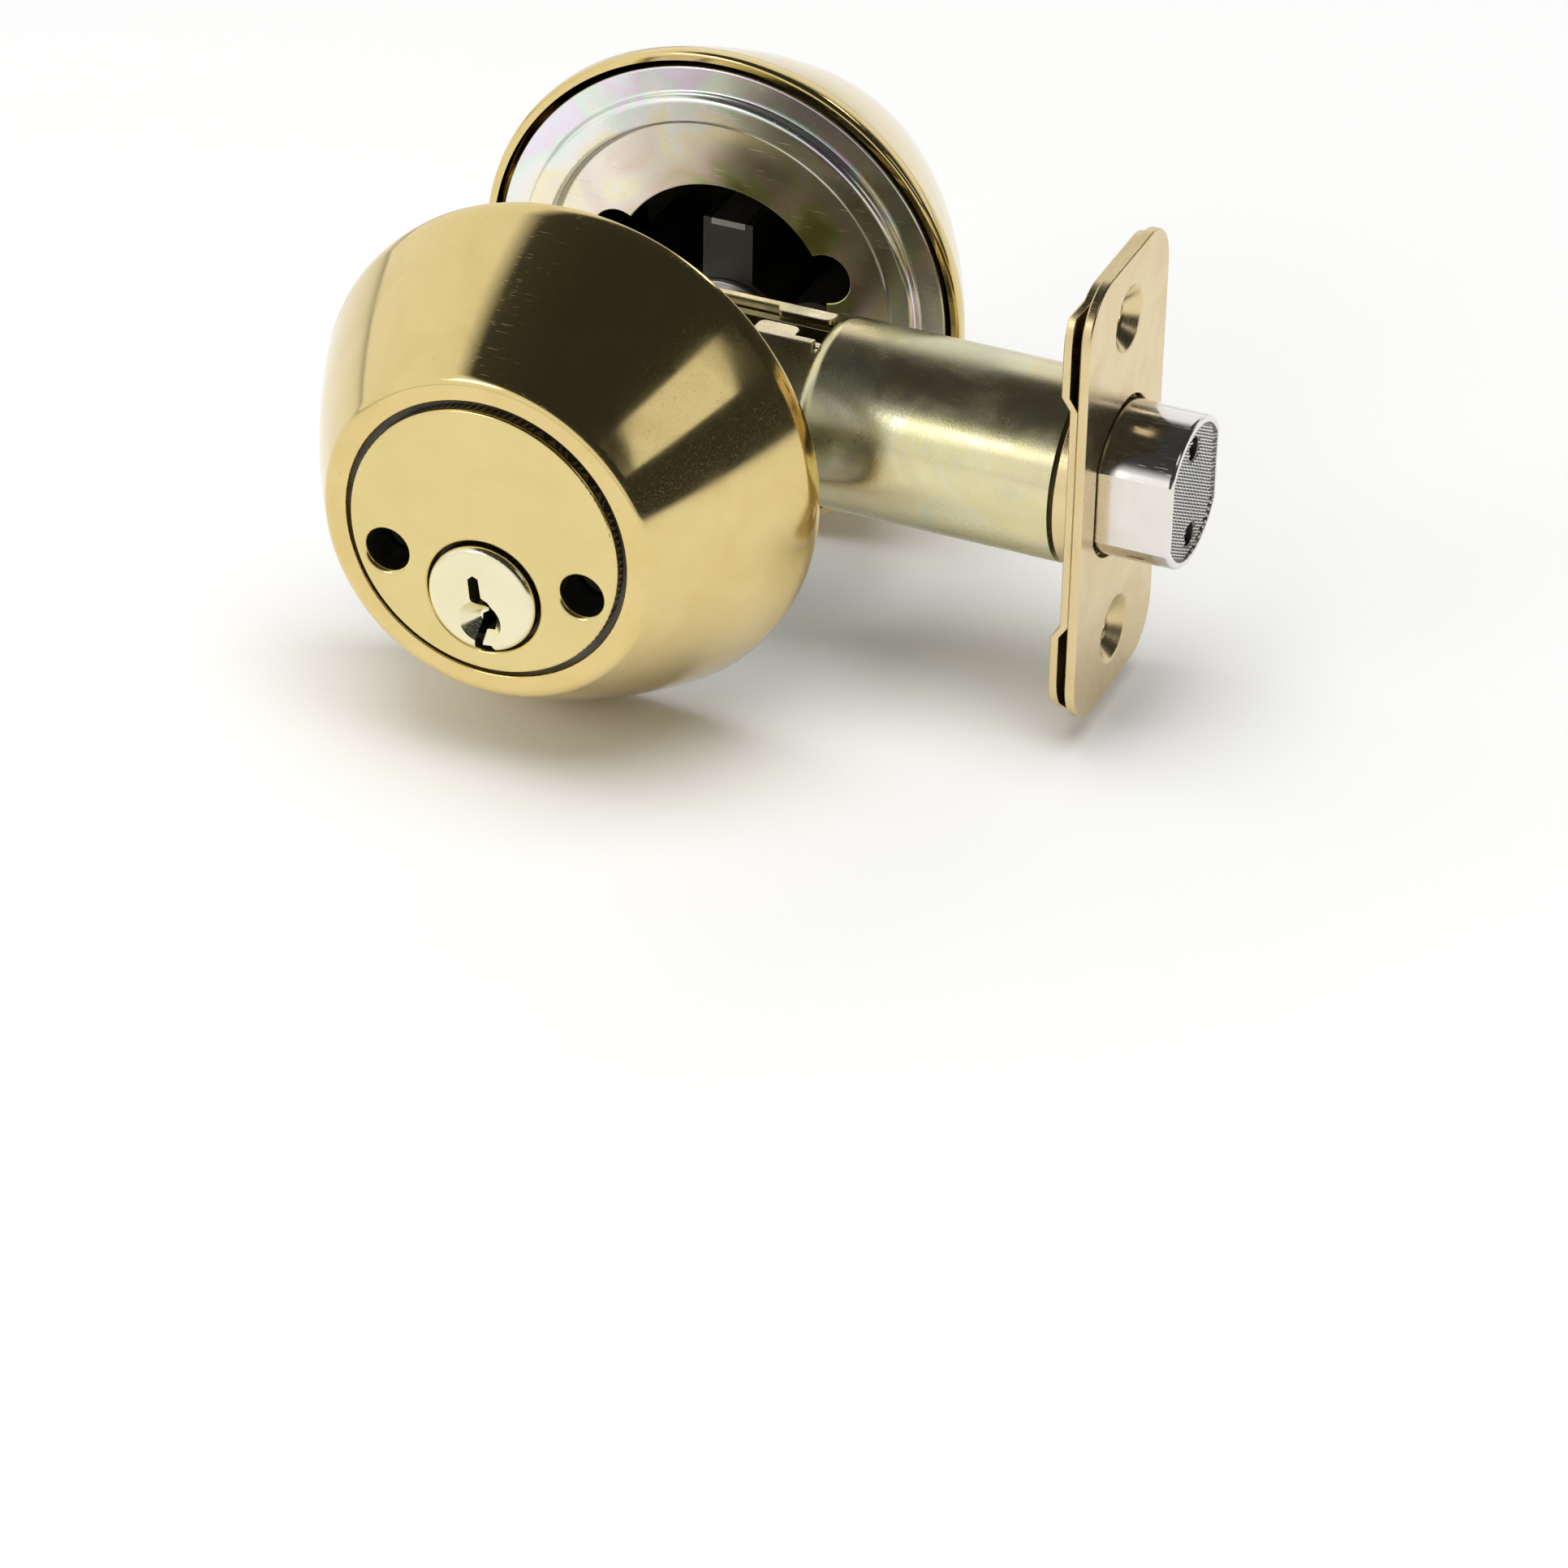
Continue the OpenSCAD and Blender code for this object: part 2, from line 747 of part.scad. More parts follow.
module face_backplate() {
    color(BRASS)
        along_bolt()
            difference() {
                union() {
                    intersection() {
                        translate([plate_w / 2, 0, 0])
                            rotate([90, 0, -90])
                                linear_extrude(plate_w)
                                    mirror([1, 0])
                                        backplate_side();
                        translate([0, 0, back_back - 5])
                            linear_extrude(10)
                                rounded_plate(plate_w - 0.8, plate_h - 1, plate_corner);
                    }
                    translate([0, 0, back_back - neck_len])
                        cylinder(r = tube_r, h = neck_len + eps);
                    translate([0, 0, back_back - neck_len - sleeve_l])
                        cylinder(r = tube_in_r - seat_gap, h = sleeve_l + eps);
                }
                translate([0, 0, back_back - neck_len - sleeve_l - 1])
                    linear_extrude(sleeve_l + neck_len + back_t + 2)
                        bolt_outline(slide_gap);
                for (side = [-1, 1])
                    translate([0, side * screw_pitch / 2, back_back - 5])
                        cylinder(d = screw_hole_d + 0.6, h = 10);
            }
}

module bolt() {
    slot_h = 2 * (strap_root_h + seat_gap);
    color(NICKEL)
        along_bolt()
            difference() {
                union() {
                    translate([0, 0, bolt_rear])
                        linear_extrude(bolt_l - bolt_edge)
                            bolt_outline();
                    intersection() {
                        translate([0, 0, bolt_tip - bolt_edge - eps])
                            cylinder(r1 = bolt_r, r2 = bolt_r - bolt_edge, h = bolt_edge + eps);
                        translate([0, 0, bolt_tip - bolt_edge / 2])
                            cube([bolt_flats - bolt_edge, bolt_d, bolt_edge + 4 * eps], center = true);
                    }
                }
                translate([0, 0, bolt_tip - stud_recess])
                    linear_extrude(stud_recess + 1)
                        bolt_outline(-stud_border);
                for (side = [-1, 1])
                    translate([0, side * rod_spacing / 2, bolt_tip - rod_recess - rod_l])
                        cylinder(d = rod_d + 2 * seat_gap, h = rod_l + rod_recess + 1);
                translate([-strap_out - seat_gap, -slot_h / 2, bolt_rear - 1])
                    cube([2 * (strap_out + seat_gap), slot_h, strap_root_l + 1 + seat_gap]);
                translate([0, 0, tail_rivet_x])
                    rotate([0, 90, 0])
                        cylinder(r = tail_rivet_r + seat_gap, h = bolt_d, center = true);
            }
}

module anti_saw_rods() {
    color(STEEL)
        along_bolt(bolt_tip - rod_recess - rod_l)
            for (side = [-1, 1])
                translate([0, side * rod_spacing / 2, 0])
                    cylinder(d = rod_d, h = rod_l);
}

// Outline of a strap in the XZ plane, with the notch for the cam's pin and two detent notches
module strap_outline() {
    half_notch = cam_pin_r + notch_play;
    root_end = bolt_rear + strap_root_l;
    difference() {
        polygon([
            [strap_end, strap_low], [crank_x, strap_low], [crank_x + crank_l, -strap_root_h],
            [root_end, -strap_root_h], [root_end, strap_root_h], [crank_x + crank_l, strap_root_h],
            [crank_x - crank_l, strap_high], [strap_end, strap_high]
        ]);
        translate([notch_x - half_notch, notch_floor + 1])
            square([2 * half_notch, strap_high]);
        translate([notch_x - half_notch + 1, notch_floor])
            square([2 * half_notch - 2, strap_high]);
        for (side = [-1, 1])
            translate([notch_x + side * (half_notch - 1), notch_floor + 1])
                circle(1);
        for (stop = [bolt_out, bolt_out - bolt_throw])
            translate([detent_x + stop, strap_low])
                polygon([[-1.2, -eps], [1.2, -eps], [0, detent_depth]]);
    }
}

module bolt_tail() {
    color(ZINC_YELLOW)
        difference() {
            union() {
                for (side = [-1, 1])
                    translate([0, side * (strap_out - strap_t / 2) + strap_t / 2, 0])
                        rotate([90, 0, 0])
                            linear_extrude(strap_t)
                                strap_outline();
                translate([bolt_rear + strap_root_l - strap_t, -strap_out, -strap_root_h])
                    cube([strap_t, 2 * strap_out, 2 * strap_root_h]);
            }
            translate([tail_rivet_x, 0, 0])
                rotate([90, 0, 0])
                    cylinder(r = tail_rivet_r + seat_gap, h = bolt_d, center = true);
        }
}

module tail_rivet() {
    color(STEEL)
        translate([tail_rivet_x, 0, 0])
            rotate([90, 0, 0])
                cylinder(r = tail_rivet_r, h = bolt_flats - 0.2, center = true);
}

// Frame of the cam at its rest angle, local Y along the arm
module at_cam() {
    translate([0, 0, -plug_drop])
        rotate([0, cam_rest, 0])
            rotate([90, 0, 0])
                children();
}

module bolt_cam() {
    hub_l = 2 * (case_w / 2 + hub_reach);
    color(ZINC_YELLOW)
        at_cam()
            difference() {
                union() {
                    cylinder(r = journal_r, h = hub_l, center = true);
                    cylinder(r = hub_r, h = 2 * (case_in - axial_gap), center = true);
                    translate([-arm_w / 2, 0, -cam_t / 2])
                        cube([arm_w, cam_r, cam_t]);
                    translate([0, cam_r, 0])
                        cylinder(d = arm_w, h = cam_t, center = true);
                }
                cube([blade_t + 0.2, blade_w + 0.2, hub_l + 1], center = true);
                translate([0, cam_r, 0])
                    cylinder(r = cam_pin_r + seat_gap, h = cam_t + 1, center = true);
            }
}

module cam_pin() {
    color(STEEL)
        at_cam()
            translate([0, cam_r, 0])
                cylinder(r = cam_pin_r, h = 2 * strap_out, center = true);
}

// Outline of a case plate in the XZ plane, less the cam's bearing, the bolt's hole and the rivets
module case_outline() {
    corner = 3;
    difference() {
        union() {
            translate([case_left + corner, case_bottom])
                square([tube_start - case_left - corner - 0.2, case_half_h - case_bottom]);
            translate([case_left, case_bottom + corner])
                square([corner + eps, case_half_h - case_bottom - 2 * corner]);
            for (z = [case_bottom + corner, case_half_h - corner])
                translate([case_left + corner, z])
                    circle(corner);
            translate([0, -case_neck_h])
                square([case_end, 2 * case_neck_h]);
        }
        translate([0, -plug_drop])
            circle(journal_r + turn_gap);
        translate([through_x, -through_drop])
            circle(through_d / 2 + 0.6);
        for (spot = rivet_spots)
            translate(spot)
                circle(rivet_r + seat_gap);
    }
}

// One case plate on the exterior side; its top tab bends in over the mechanism
module case_plate(tab_from, tab_to, width) {
    color(ZINC_YELLOW) {
        translate([0, case_w / 2, 0])
            rotate([90, 0, 0])
                linear_extrude(case_t)
                    case_outline();
        translate([tab_from, case_w / 2 - width, case_half_h - tab_t])
            intersection() {
                cube([tab_to - tab_from, width, tab_t]);
                translate([(tab_to - tab_from) / 2, width, 0])
                    linear_extrude(tab_t)
                        rounded_plate(tab_to - tab_from, 2 * width, 1);
            }
    }
}

module case_rivets() {
    color(STEEL)
        for (spot = rivet_spots)
            translate([spot[0], 0, spot[1]])
                rotate([90, 0, 0]) {
                    cylinder(r = rivet_r, h = case_w + eps, center = true);
                    for (side = [-1, 1])
                        translate([0, 0, side * (case_w + rivet_head_h) / 2])
                            cylinder(r = rivet_head_r, h = rivet_head_h, center = true);
                }
}

module case_spacers() {
    color(STEEL)
        for (spot = rivet_spots)
            translate([spot[0], 0, spot[1]])
                rotate([90, 0, 0])
                    difference() {
                        cylinder(r = rivet_head_r, h = 2 * case_in, center = true);
                        cylinder(r = rivet_r + seat_gap, h = case_w, center = true);
                    }
}

// Bent leaf that rests on the upper spacer and clicks into the tail's notches
module detent_spring() {
    leaf_t = 0.4;
    top = strap_low - slide_gap;
    spacer = rivet_spots[2];
    foot = spacer[1] + rivet_head_r;
    ridge = [[spacer[0] + 1.6, foot], [spacer[0] - 1.8, foot], [detent_x + 0.6, top - leaf_t],
        [detent_x - 0.6, top - leaf_t], [detent_x - 1.4, top - 1.2]];
    color(SPRING_STEEL)
        rotate([90, 0, 0])
            linear_extrude(2 * case_in - 1, center = true)
                polygon(concat(ridge, [for (i = [len(ridge) - 1:-1:0]) ridge[i] + [0, leaf_t]]));
}

collar();  // interior_collar
housing(false);  // interior_housing
plug();  // interior_plug
plug_cap();  // interior_plug_cap
key_pins();  // interior_key_pins
driver_pins();  // interior_driver_pins
pin_springs();  // interior_pin_springs
chamber_cover();  // interior_chamber_cover
tailpiece();  // interior_tailpiece
backing_plate();  // interior_backing_plate
exterior() collar();  // exterior_collar
exterior() housing(true);  // exterior_housing
exterior() plug();  // exterior_plug
exterior() plug_cap();  // exterior_plug_cap
exterior() key_pins();  // exterior_key_pins
exterior() driver_pins();  // exterior_driver_pins
exterior() pin_springs();  // exterior_pin_springs
exterior() chamber_cover();  // exterior_chamber_cover
exterior() tailpiece();  // exterior_tailpiece
exterior() backing_plate();  // exterior_backing_plate
threaded_posts();
through_bolts();
bolt_tube();
faceplate();
face_backplate();
bolt();
anti_saw_rods();
bolt_tail();
tail_rivet();
bolt_cam();
cam_pin();
exterior() case_plate(15, 20.2, tab_w);  // case_plate_near
case_plate(15.7, 22.8, far_tab_w);  // case_plate_far
case_rivets();
case_spacers();
detent_spring();
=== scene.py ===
import json
import logging
import math
from dataclasses import dataclass, field
from enum import Enum
from typing import Callable, Iterable, Sequence

import bmesh
import bpy
from bmesh.types import BMEdge, BMesh, BMVert
from mathutils import Matrix, Vector


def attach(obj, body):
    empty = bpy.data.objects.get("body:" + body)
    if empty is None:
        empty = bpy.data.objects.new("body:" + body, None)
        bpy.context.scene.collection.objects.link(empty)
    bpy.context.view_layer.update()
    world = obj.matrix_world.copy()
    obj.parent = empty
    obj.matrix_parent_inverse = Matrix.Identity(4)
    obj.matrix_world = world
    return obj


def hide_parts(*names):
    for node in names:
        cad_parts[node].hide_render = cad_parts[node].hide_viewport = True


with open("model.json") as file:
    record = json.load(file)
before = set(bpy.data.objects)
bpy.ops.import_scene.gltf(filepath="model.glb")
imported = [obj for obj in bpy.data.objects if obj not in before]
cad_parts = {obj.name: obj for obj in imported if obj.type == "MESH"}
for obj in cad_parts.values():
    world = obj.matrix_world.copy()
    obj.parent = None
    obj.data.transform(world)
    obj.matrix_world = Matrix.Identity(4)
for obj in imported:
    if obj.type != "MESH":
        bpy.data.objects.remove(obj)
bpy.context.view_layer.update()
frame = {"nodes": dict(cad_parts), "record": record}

LOG = logging.getLogger("deadbolt")
MM = 0.001
ROW_RISE = 0.866
Colour = tuple[float, float, float]
Socket = bpy.types.NodeSocket


class Half(Enum):
    """The two sides of the door, by the sign of Y."""

    INTERIOR = -1
    EXTERIOR = 1

    @property
    def word(self) -> str:
        """Prefix of this side's node names."""
        return self.name.lower()

    def placing(self, door_t: float) -> Matrix:
        """Gives the matrix that stands a piece on this side's door face.

        Args:
            door_t: Thickness of the door.

        Returns:
            The matrix from a drawing with its height along +Z to the shared frame, in millimetres.
        """
        side = self.value
        return Matrix(((1, 0, 0, 0), (0, 0, side, side * door_t / 2), (0, 1, 0, 0), (0, 0, 0, 1)))


ALONG_BOLT = Matrix(((0, 0, 1, 0), (1, 0, 0, 0), (0, 1, 0, 0), (0, 0, 0, 1)))


class Plane(Enum):
    """Drawing planes, by the axis that an arc turns about counter-clockwise."""

    SECTION = (0, -1, 0)
    OUTLINE = (0, 0, 1)


class Pen:
    """Draws a chain of edges from straight runs and arcs."""

    def __init__(self, mesh: BMesh, start: Sequence[float], plane: Plane, height: float = 0.0) -> None:
        """Puts the pen down.

        Args:
            mesh: The mesh that the chain is drawn in.
            start: First point, in the plane's own two coordinates.
            plane: The plane to draw in.
            height: The plane's place along its own normal.
        """
        self.mesh = mesh
        self.plane = plane
        self.height = height
        self.tip: BMVert = mesh.verts.new(self.point(start))
        self.verts: list[BMVert] = [self.tip]

    def point(self, place: Sequence[float]) -> Vector:
        """Turns the plane's two coordinates into a point in space."""
        if self.plane is Plane.SECTION:
            return Vector((place[0], self.height, place[1]))
        return Vector((place[0], place[1], self.height))

    def line(self, *places: Sequence[float]) -> "Pen":
        """Draws straight runs to each place in turn."""
        for place in places:
            made = bmesh.ops.extrude_vert_indiv(self.mesh, verts=[self.tip])
            self.tip = made["verts"][0]
            self.tip.co = self.point(place)
            self.verts.append(self.tip)
        return self

    def arc(self, centre: Sequence[float], degrees: float, steps: int = 8) -> "Pen":
        """Swings the pen about a centre.

        Args:
            centre: Centre of the arc.
            degrees: Angle to swing through, counter-clockwise.
            steps: Number of edges in the arc.
        """
        before = set(self.mesh.verts)
        made = bmesh.ops.spin(self.mesh, geom=[self.tip], cent=self.point(centre), axis=self.plane.value,
                              dvec=(0, 0, 0), angle=math.radians(degrees), steps=steps,
                              use_merge=False, use_duplicate=False)
        self.verts += [vert for vert in self.mesh.verts if vert not in before]
        self.tip = made["geom_last"][0]
        return self

    def bow(self, place: Sequence[float], rise: float, steps: int = 16) -> "Pen":
        """Draws a shallow arc to a place, bulging to the right of the way by rise."""
        start = Vector((self.tip.co.x, self.tip.co.z if self.plane is Plane.SECTION else self.tip.co.y))
        chord = Vector(place) - start
        radius = chord.length_squared / (8 * rise) + rise / 2
        right = Vector((chord.y, -chord.x)).normalized()
        centre = start + chord / 2 - right * (radius - rise)
        return self.arc(centre, math.degrees(2 * math.asin(chord.length / 2 / radius)), steps)

    def close(self) -> list[BMVert]:
        """Joins the last point to the first and returns the loop."""
        self.mesh.edges.new((self.tip, self.verts[0]))
        return self.verts


def loop_edges(loop: Iterable[BMVert]) -> list[BMEdge]:
    """Gives the edges that run between a loop's own points."""
    own = set(loop)
    return [edge for edge in {e for vert in own for e in vert.link_edges} if set(edge.verts) <= own]


def circle(mesh: BMesh, radius: float, height: float, centre: Sequence[float] = (0, 0),
           segments: int = 96) -> list[BMVert]:
    """Adds a circle of edges at a height.

    Args:
        mesh: The mesh to add it to.
        radius: Radius of the circle.
        height: Its place along Z.
        centre: Its centre in XY.
        segments: Number of edges.

    Returns:
        The circle's points.
    """
    place = Matrix.Translation((centre[0], centre[1], height))
    made = bmesh.ops.create_circle(mesh, cap_ends=False, radius=radius, segments=segments, matrix=place)
    return made["verts"]


def raise_loop(mesh: BMesh, loop: Iterable[BMVert], by: float, scale: float = 1.0,
               centre: Sequence[float] = (0, 0)) -> list[BMVert]:
    """Extrudes a loop of edges along Z, and scales the new loop about a centre.

    Args:
        mesh: The mesh that holds the loop.
        loop: Points of the loop.
        by: Distance along Z.
        scale: Scale of the new loop in XY.
        centre: Centre of that scale.

    Returns:
        The new loop's points.
    """
    made = bmesh.ops.extrude_edge_only(mesh, edges=loop_edges(loop))
    verts = [item for item in made["geom"] if isinstance(item, BMVert)]
    around = Matrix.Translation((-centre[0], -centre[1], 0))
    bmesh.ops.scale(mesh, vec=(scale, scale, 1), space=around, verts=verts)
    bmesh.ops.translate(mesh, vec=(0, 0, by), verts=verts)
    return verts


def fill_between(mesh: BMesh, *loops: Iterable[BMVert]) -> None:
    """Fills a flat region that is bounded by an outer loop and the loops of its holes."""
    edges = [edge for loop in loops for edge in loop_edges(loop)]
    bmesh.ops.triangle_fill(mesh, use_beauty=True, use_dissolve=False, edges=edges)


def revolve(mesh: BMesh, pen: Pen, steps: int = 160) -> None:
    """Spins a closed half section once round the Z axis and merges the seam."""
    section = pen.verts
    bmesh.ops.spin(mesh, geom=section + loop_edges(section), cent=(0, 0, 0), axis=(0, 0, 1), dvec=(0, 0, 0),
                   angle=math.tau, steps=steps, use_merge=True, use_duplicate=False)


@dataclass
class Piece:
    """A finished visible piece in the scene.

    Args:
        name: Name of the piece.
        nodes: The CAD nodes that it stands for.
        body: The body that it rides on.
    """

    name: str
    nodes: tuple[str, ...]
    body: str

    def finish(self, mesh: BMesh, finishes: Sequence["Finish"], place: Matrix | None = None,
               edge: float = 0.0, corner: float = 38.0, closed: bool = True) -> bpy.types.Object:
        """Closes, places and dresses a mesh, hangs it on its body and hides the CAD nodes that it stands for.

        Args:
            mesh: The drawing, in millimetres.
            finishes: Finishes in the order of the faces' material numbers.
            place: Matrix from the drawing to the shared frame, in millimetres.
            edge: Width of the small rounding on sharp edges, or 0 for none.
            corner: Angle past which an edge counts as sharp, in degrees.
            closed: Whether the faces are turned outwards again.

        Returns:
            The new object.
        """
        bmesh.ops.remove_doubles(mesh, verts=mesh.verts, dist=0.0005)
        mesh.transform(Matrix.Scale(MM, 4) @ (place or Matrix.Identity(4)))
        if closed:
            bmesh.ops.recalc_face_normals(mesh, faces=mesh.faces)
        for face in mesh.faces:
            face.smooth = True
        limit = math.radians(corner)
        for item in mesh.edges:
            item.smooth = not (item.is_manifold and item.calc_face_angle(0.0) > limit)
        data = bpy.data.meshes.new(self.name)
        mesh.to_mesh(data)
        mesh.free()
        made = bpy.data.objects.new(self.name, data)
        bpy.context.scene.collection.objects.link(made)
        for finish in finishes:
            data.materials.append(finish.material())
        if edge:
            self.round_edges(made, edge, limit)
        evened = made.modifiers.new("Even normals", "WEIGHTED_NORMAL")
        evened.keep_sharp = True
        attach(made, self.body)
        if self.nodes:
            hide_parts(*self.nodes)
        LOG.info("%s: %d faces on %s", self.name, len(data.polygons), self.body)
        return made

    @staticmethod
    def round_edges(made: bpy.types.Object, width: float, limit: float) -> None:
        """Puts a narrow rounding on a piece's sharp edges.

        Args:
            made: The piece's object.
            width: Width of the rounding, in millimetres.
            limit: Angle past which an edge is rounded, in radians.
        """
        bevel = made.modifiers.new("Broken edges", "BEVEL")
        bevel.width = width * MM
        bevel.segments = 2
        bevel.limit_method = "ANGLE"
        bevel.angle_limit = limit
        bevel.miter_outer = "MITER_ARC"
        bevel.harden_normals = False


# ---------------------------------------------------------------- finishes


class Graph:
    """Adds nodes to a node tree and joins them."""

    def __init__(self, tree: bpy.types.NodeTree) -> None:
        """Keeps the tree that the nodes go in."""
        self.tree = tree

    def node(self, kind: str, settings: dict[str, object] | None = None,
             **inputs: object) -> bpy.types.Node:
        """Adds a node.

        Args:
            kind: The node's type.
            settings: Its own properties.
            inputs: Values or sockets for its inputs, with _ for a space in a name.

        Returns:
            The new node.
        """
        made = self.tree.nodes.new(kind)
        for key, value in (settings or {}).items():
            setattr(made, key, value)
        for key, value in inputs.items():
            self.feed(made.inputs[key.replace("_", " ")], value)
        return made

    def feed(self, socket: bpy.types.NodeSocket, value: object) -> None:
        """Joins a socket to another, or sets its own value."""
        if isinstance(value, bpy.types.NodeSocket):
            self.tree.links.new(value, socket)
        else:
            socket.default_value = value

    def math(self, operation: str, first: object, second: object = 0.0) -> bpy.types.NodeSocket:
        """Adds a two-value sum and returns its result."""
        made = self.node("ShaderNodeMath", {"operation": operation})
        self.feed(made.inputs[0], first)
        self.feed(made.inputs[1], second)
        return made.outputs[0]

    def spread(self, value: object, low: float, high: float, out_low: object = 0.0,
               out_high: object = 1.0) -> bpy.types.NodeSocket:
        """Maps a value from one range to another, clamped."""
        made = self.node("ShaderNodeMapRange", {"interpolation_type": "SMOOTHSTEP"}, Value=value)
        for index, amount in enumerate((low, high, out_low, out_high), start=1):
            self.feed(made.inputs[index], amount)
        return made.outputs[0]

    def mix(self, amount: object, first: object, second: object) -> bpy.types.NodeSocket:
        """Mixes two colours."""
        made = self.node("ShaderNodeMix", {"data_type": "RGBA"})
        self.feed(made.inputs[0], amount)
        self.feed(made.inputs[6], first if isinstance(first, bpy.types.NodeSocket) else (*first, 1.0))
        self.feed(made.inputs[7], second if isinstance(second, bpy.types.NodeSocket) else (*second, 1.0))
        return made.outputs[2]

    def noise(self, vector: object, scale: object, detail: float = 2.0,
              distortion: float = 0.0) -> bpy.types.NodeSocket:
        """Adds a noise and returns its value."""
        return self.node("ShaderNodeTexNoise", None, Vector=vector, Scale=scale, Detail=detail,
                         Distortion=distortion).outputs[0]


class Effect:
    """A shader node group that several finishes share, made when it is first asked for."""

    name: str = ""
    inputs: tuple[tuple[str, str, float], ...] = ()
    outputs: tuple[tuple[str, str], ...] = (("Mask", "NodeSocketFloat"),)

    @classmethod
    def tree(cls) -> bpy.types.NodeTree:
        """Returns the group's tree."""
        if cls.name in bpy.data.node_groups:
            return bpy.data.node_groups[cls.name]
        tree = bpy.data.node_groups.new(cls.name, "ShaderNodeTree")
        tree.interface.new_socket("Place", in_out="INPUT", socket_type="NodeSocketVector")
        for label, kind, value in cls.inputs:
            tree.interface.new_socket(label, in_out="INPUT", socket_type=kind).default_value = value
        for label, kind in cls.outputs:
            tree.interface.new_socket(label, in_out="OUTPUT", socket_type=kind)
        graph = Graph(tree)
        given = graph.node("NodeGroupInput")
        result = graph.node("NodeGroupOutput")
        for label, socket in cls.build(graph, given).items():
            graph.feed(result.inputs[label], socket)
        return tree

    @classmethod
    def build(cls, graph: Graph, given: bpy.types.Node) -> dict[str, bpy.types.NodeSocket]:
        """Fills the group. Each effect says how.

        Args:
            graph: The group's tree.
            given: Its input node.

        Returns:
            A socket for each output.
        """
        raise NotImplementedError

    @classmethod
    def use(cls, graph: Graph, place: bpy.types.NodeSocket, **values: object) -> bpy.types.Node:
        """Puts the effect in a material, with its own values."""
        made = graph.node("ShaderNodeGroup", {"node_tree": cls.tree()})
        graph.feed(made.inputs["Place"], place)
        for key, value in values.items():
            graph.feed(made.inputs[key], value)
        return made


class Hairlines(Effect):
    """Long fine handling scratches in three directions."""

    name = "Hairline scratches"
    inputs = (("Density", "NodeSocketFloat", 0.5),)

    @classmethod
    def build(cls, graph: Graph, given: bpy.types.Node) -> dict[str, bpy.types.NodeSocket]:
        """Keeps only the peaks of three stretched noises."""
        start = graph.math("SUBTRACT", 0.78, graph.math("MULTIPLY", given.outputs["Density"], 0.16))
        masks: list[bpy.types.NodeSocket] = []
        for turn in (0.4, 1.5, 2.6):
            mapped = graph.node("ShaderNodeMapping", None, Vector=given.outputs["Place"],
                                Rotation=(turn, turn * 1.3, turn * 1.9), Scale=(0.22, 8.0, 8.0))
            line = graph.noise(mapped.outputs[0], 1.0, 1.0)
            over = graph.math("SUBTRACT", line, start)
            masks.append(graph.spread(over, 0.0, 0.05))
        both = graph.math("MAXIMUM", masks[0], masks[1])
        return {"Mask": graph.math("MAXIMUM", both, masks[2])}


class Grain(Effect):
    """Fine even grain, as on a tumbled, plated or blasted surface."""

    name = "Surface grain"
    inputs = (("Size", "NodeSocketFloat", 0.2),)
    outputs = (("Mask", "NodeSocketFloat"), ("Fleck", "NodeSocketFloat"))

    @classmethod
    def build(cls, graph: Graph, given: bpy.types.Node) -> dict[str, bpy.types.NodeSocket]:
        """Mixes two sizes of noise, and picks out sparse flecks."""
        scale = graph.math("DIVIDE", 1.0, given.outputs["Size"])
        fine = graph.noise(given.outputs["Place"], scale, 3.0)
        broad = graph.noise(given.outputs["Place"], graph.math("MULTIPLY", scale, 0.22), 2.0)
        mixed = graph.math("ADD", graph.math("MULTIPLY", fine, 0.7), graph.math("MULTIPLY", broad, 0.3))
        return {"Mask": mixed, "Fleck": graph.spread(fine, 0.62, 0.75)}


class Haze(Effect):
    """Broad soft patches left by polishing, oil and fingers."""

    name = "Haze patches"
    inputs = (("Size", "NodeSocketFloat", 9.0),)

    @classmethod
    def build(cls, graph: Graph, given: bpy.types.Node) -> dict[str, bpy.types.NodeSocket]:
        """Uses one distorted broad noise."""
        scale = graph.math("DIVIDE", 1.0, given.outputs["Size"])
        patch = graph.noise(given.outputs["Place"], scale, 3.0, 0.8)
        return {"Mask": graph.spread(patch, 0.35, 0.7)}


class Specks(Effect):
    """Sparse round specks and pin-holes in a plated surface."""

    name = "Plating specks"
    inputs = (("Spacing", "NodeSocketFloat", 2.5), ("Size", "NodeSocketFloat", 0.1))

    @classmethod
    def build(cls, graph: Graph, given: bpy.types.Node) -> dict[str, bpy.types.NodeSocket]:
        """Keeps a small disc round some of a cell pattern's centres."""
        scale = graph.math("DIVIDE", 1.0, given.outputs["Spacing"])
        cells = graph.node("ShaderNodeTexVoronoi", None, Vector=given.outputs["Place"], Scale=scale)
        near = graph.math("LESS_THAN", cells.outputs["Distance"], given.outputs["Size"])
        chosen = graph.math("GREATER_THAN", cells.outputs["Color"], 0.55)
        return {"Mask": graph.math("MULTIPLY", near, chosen)}


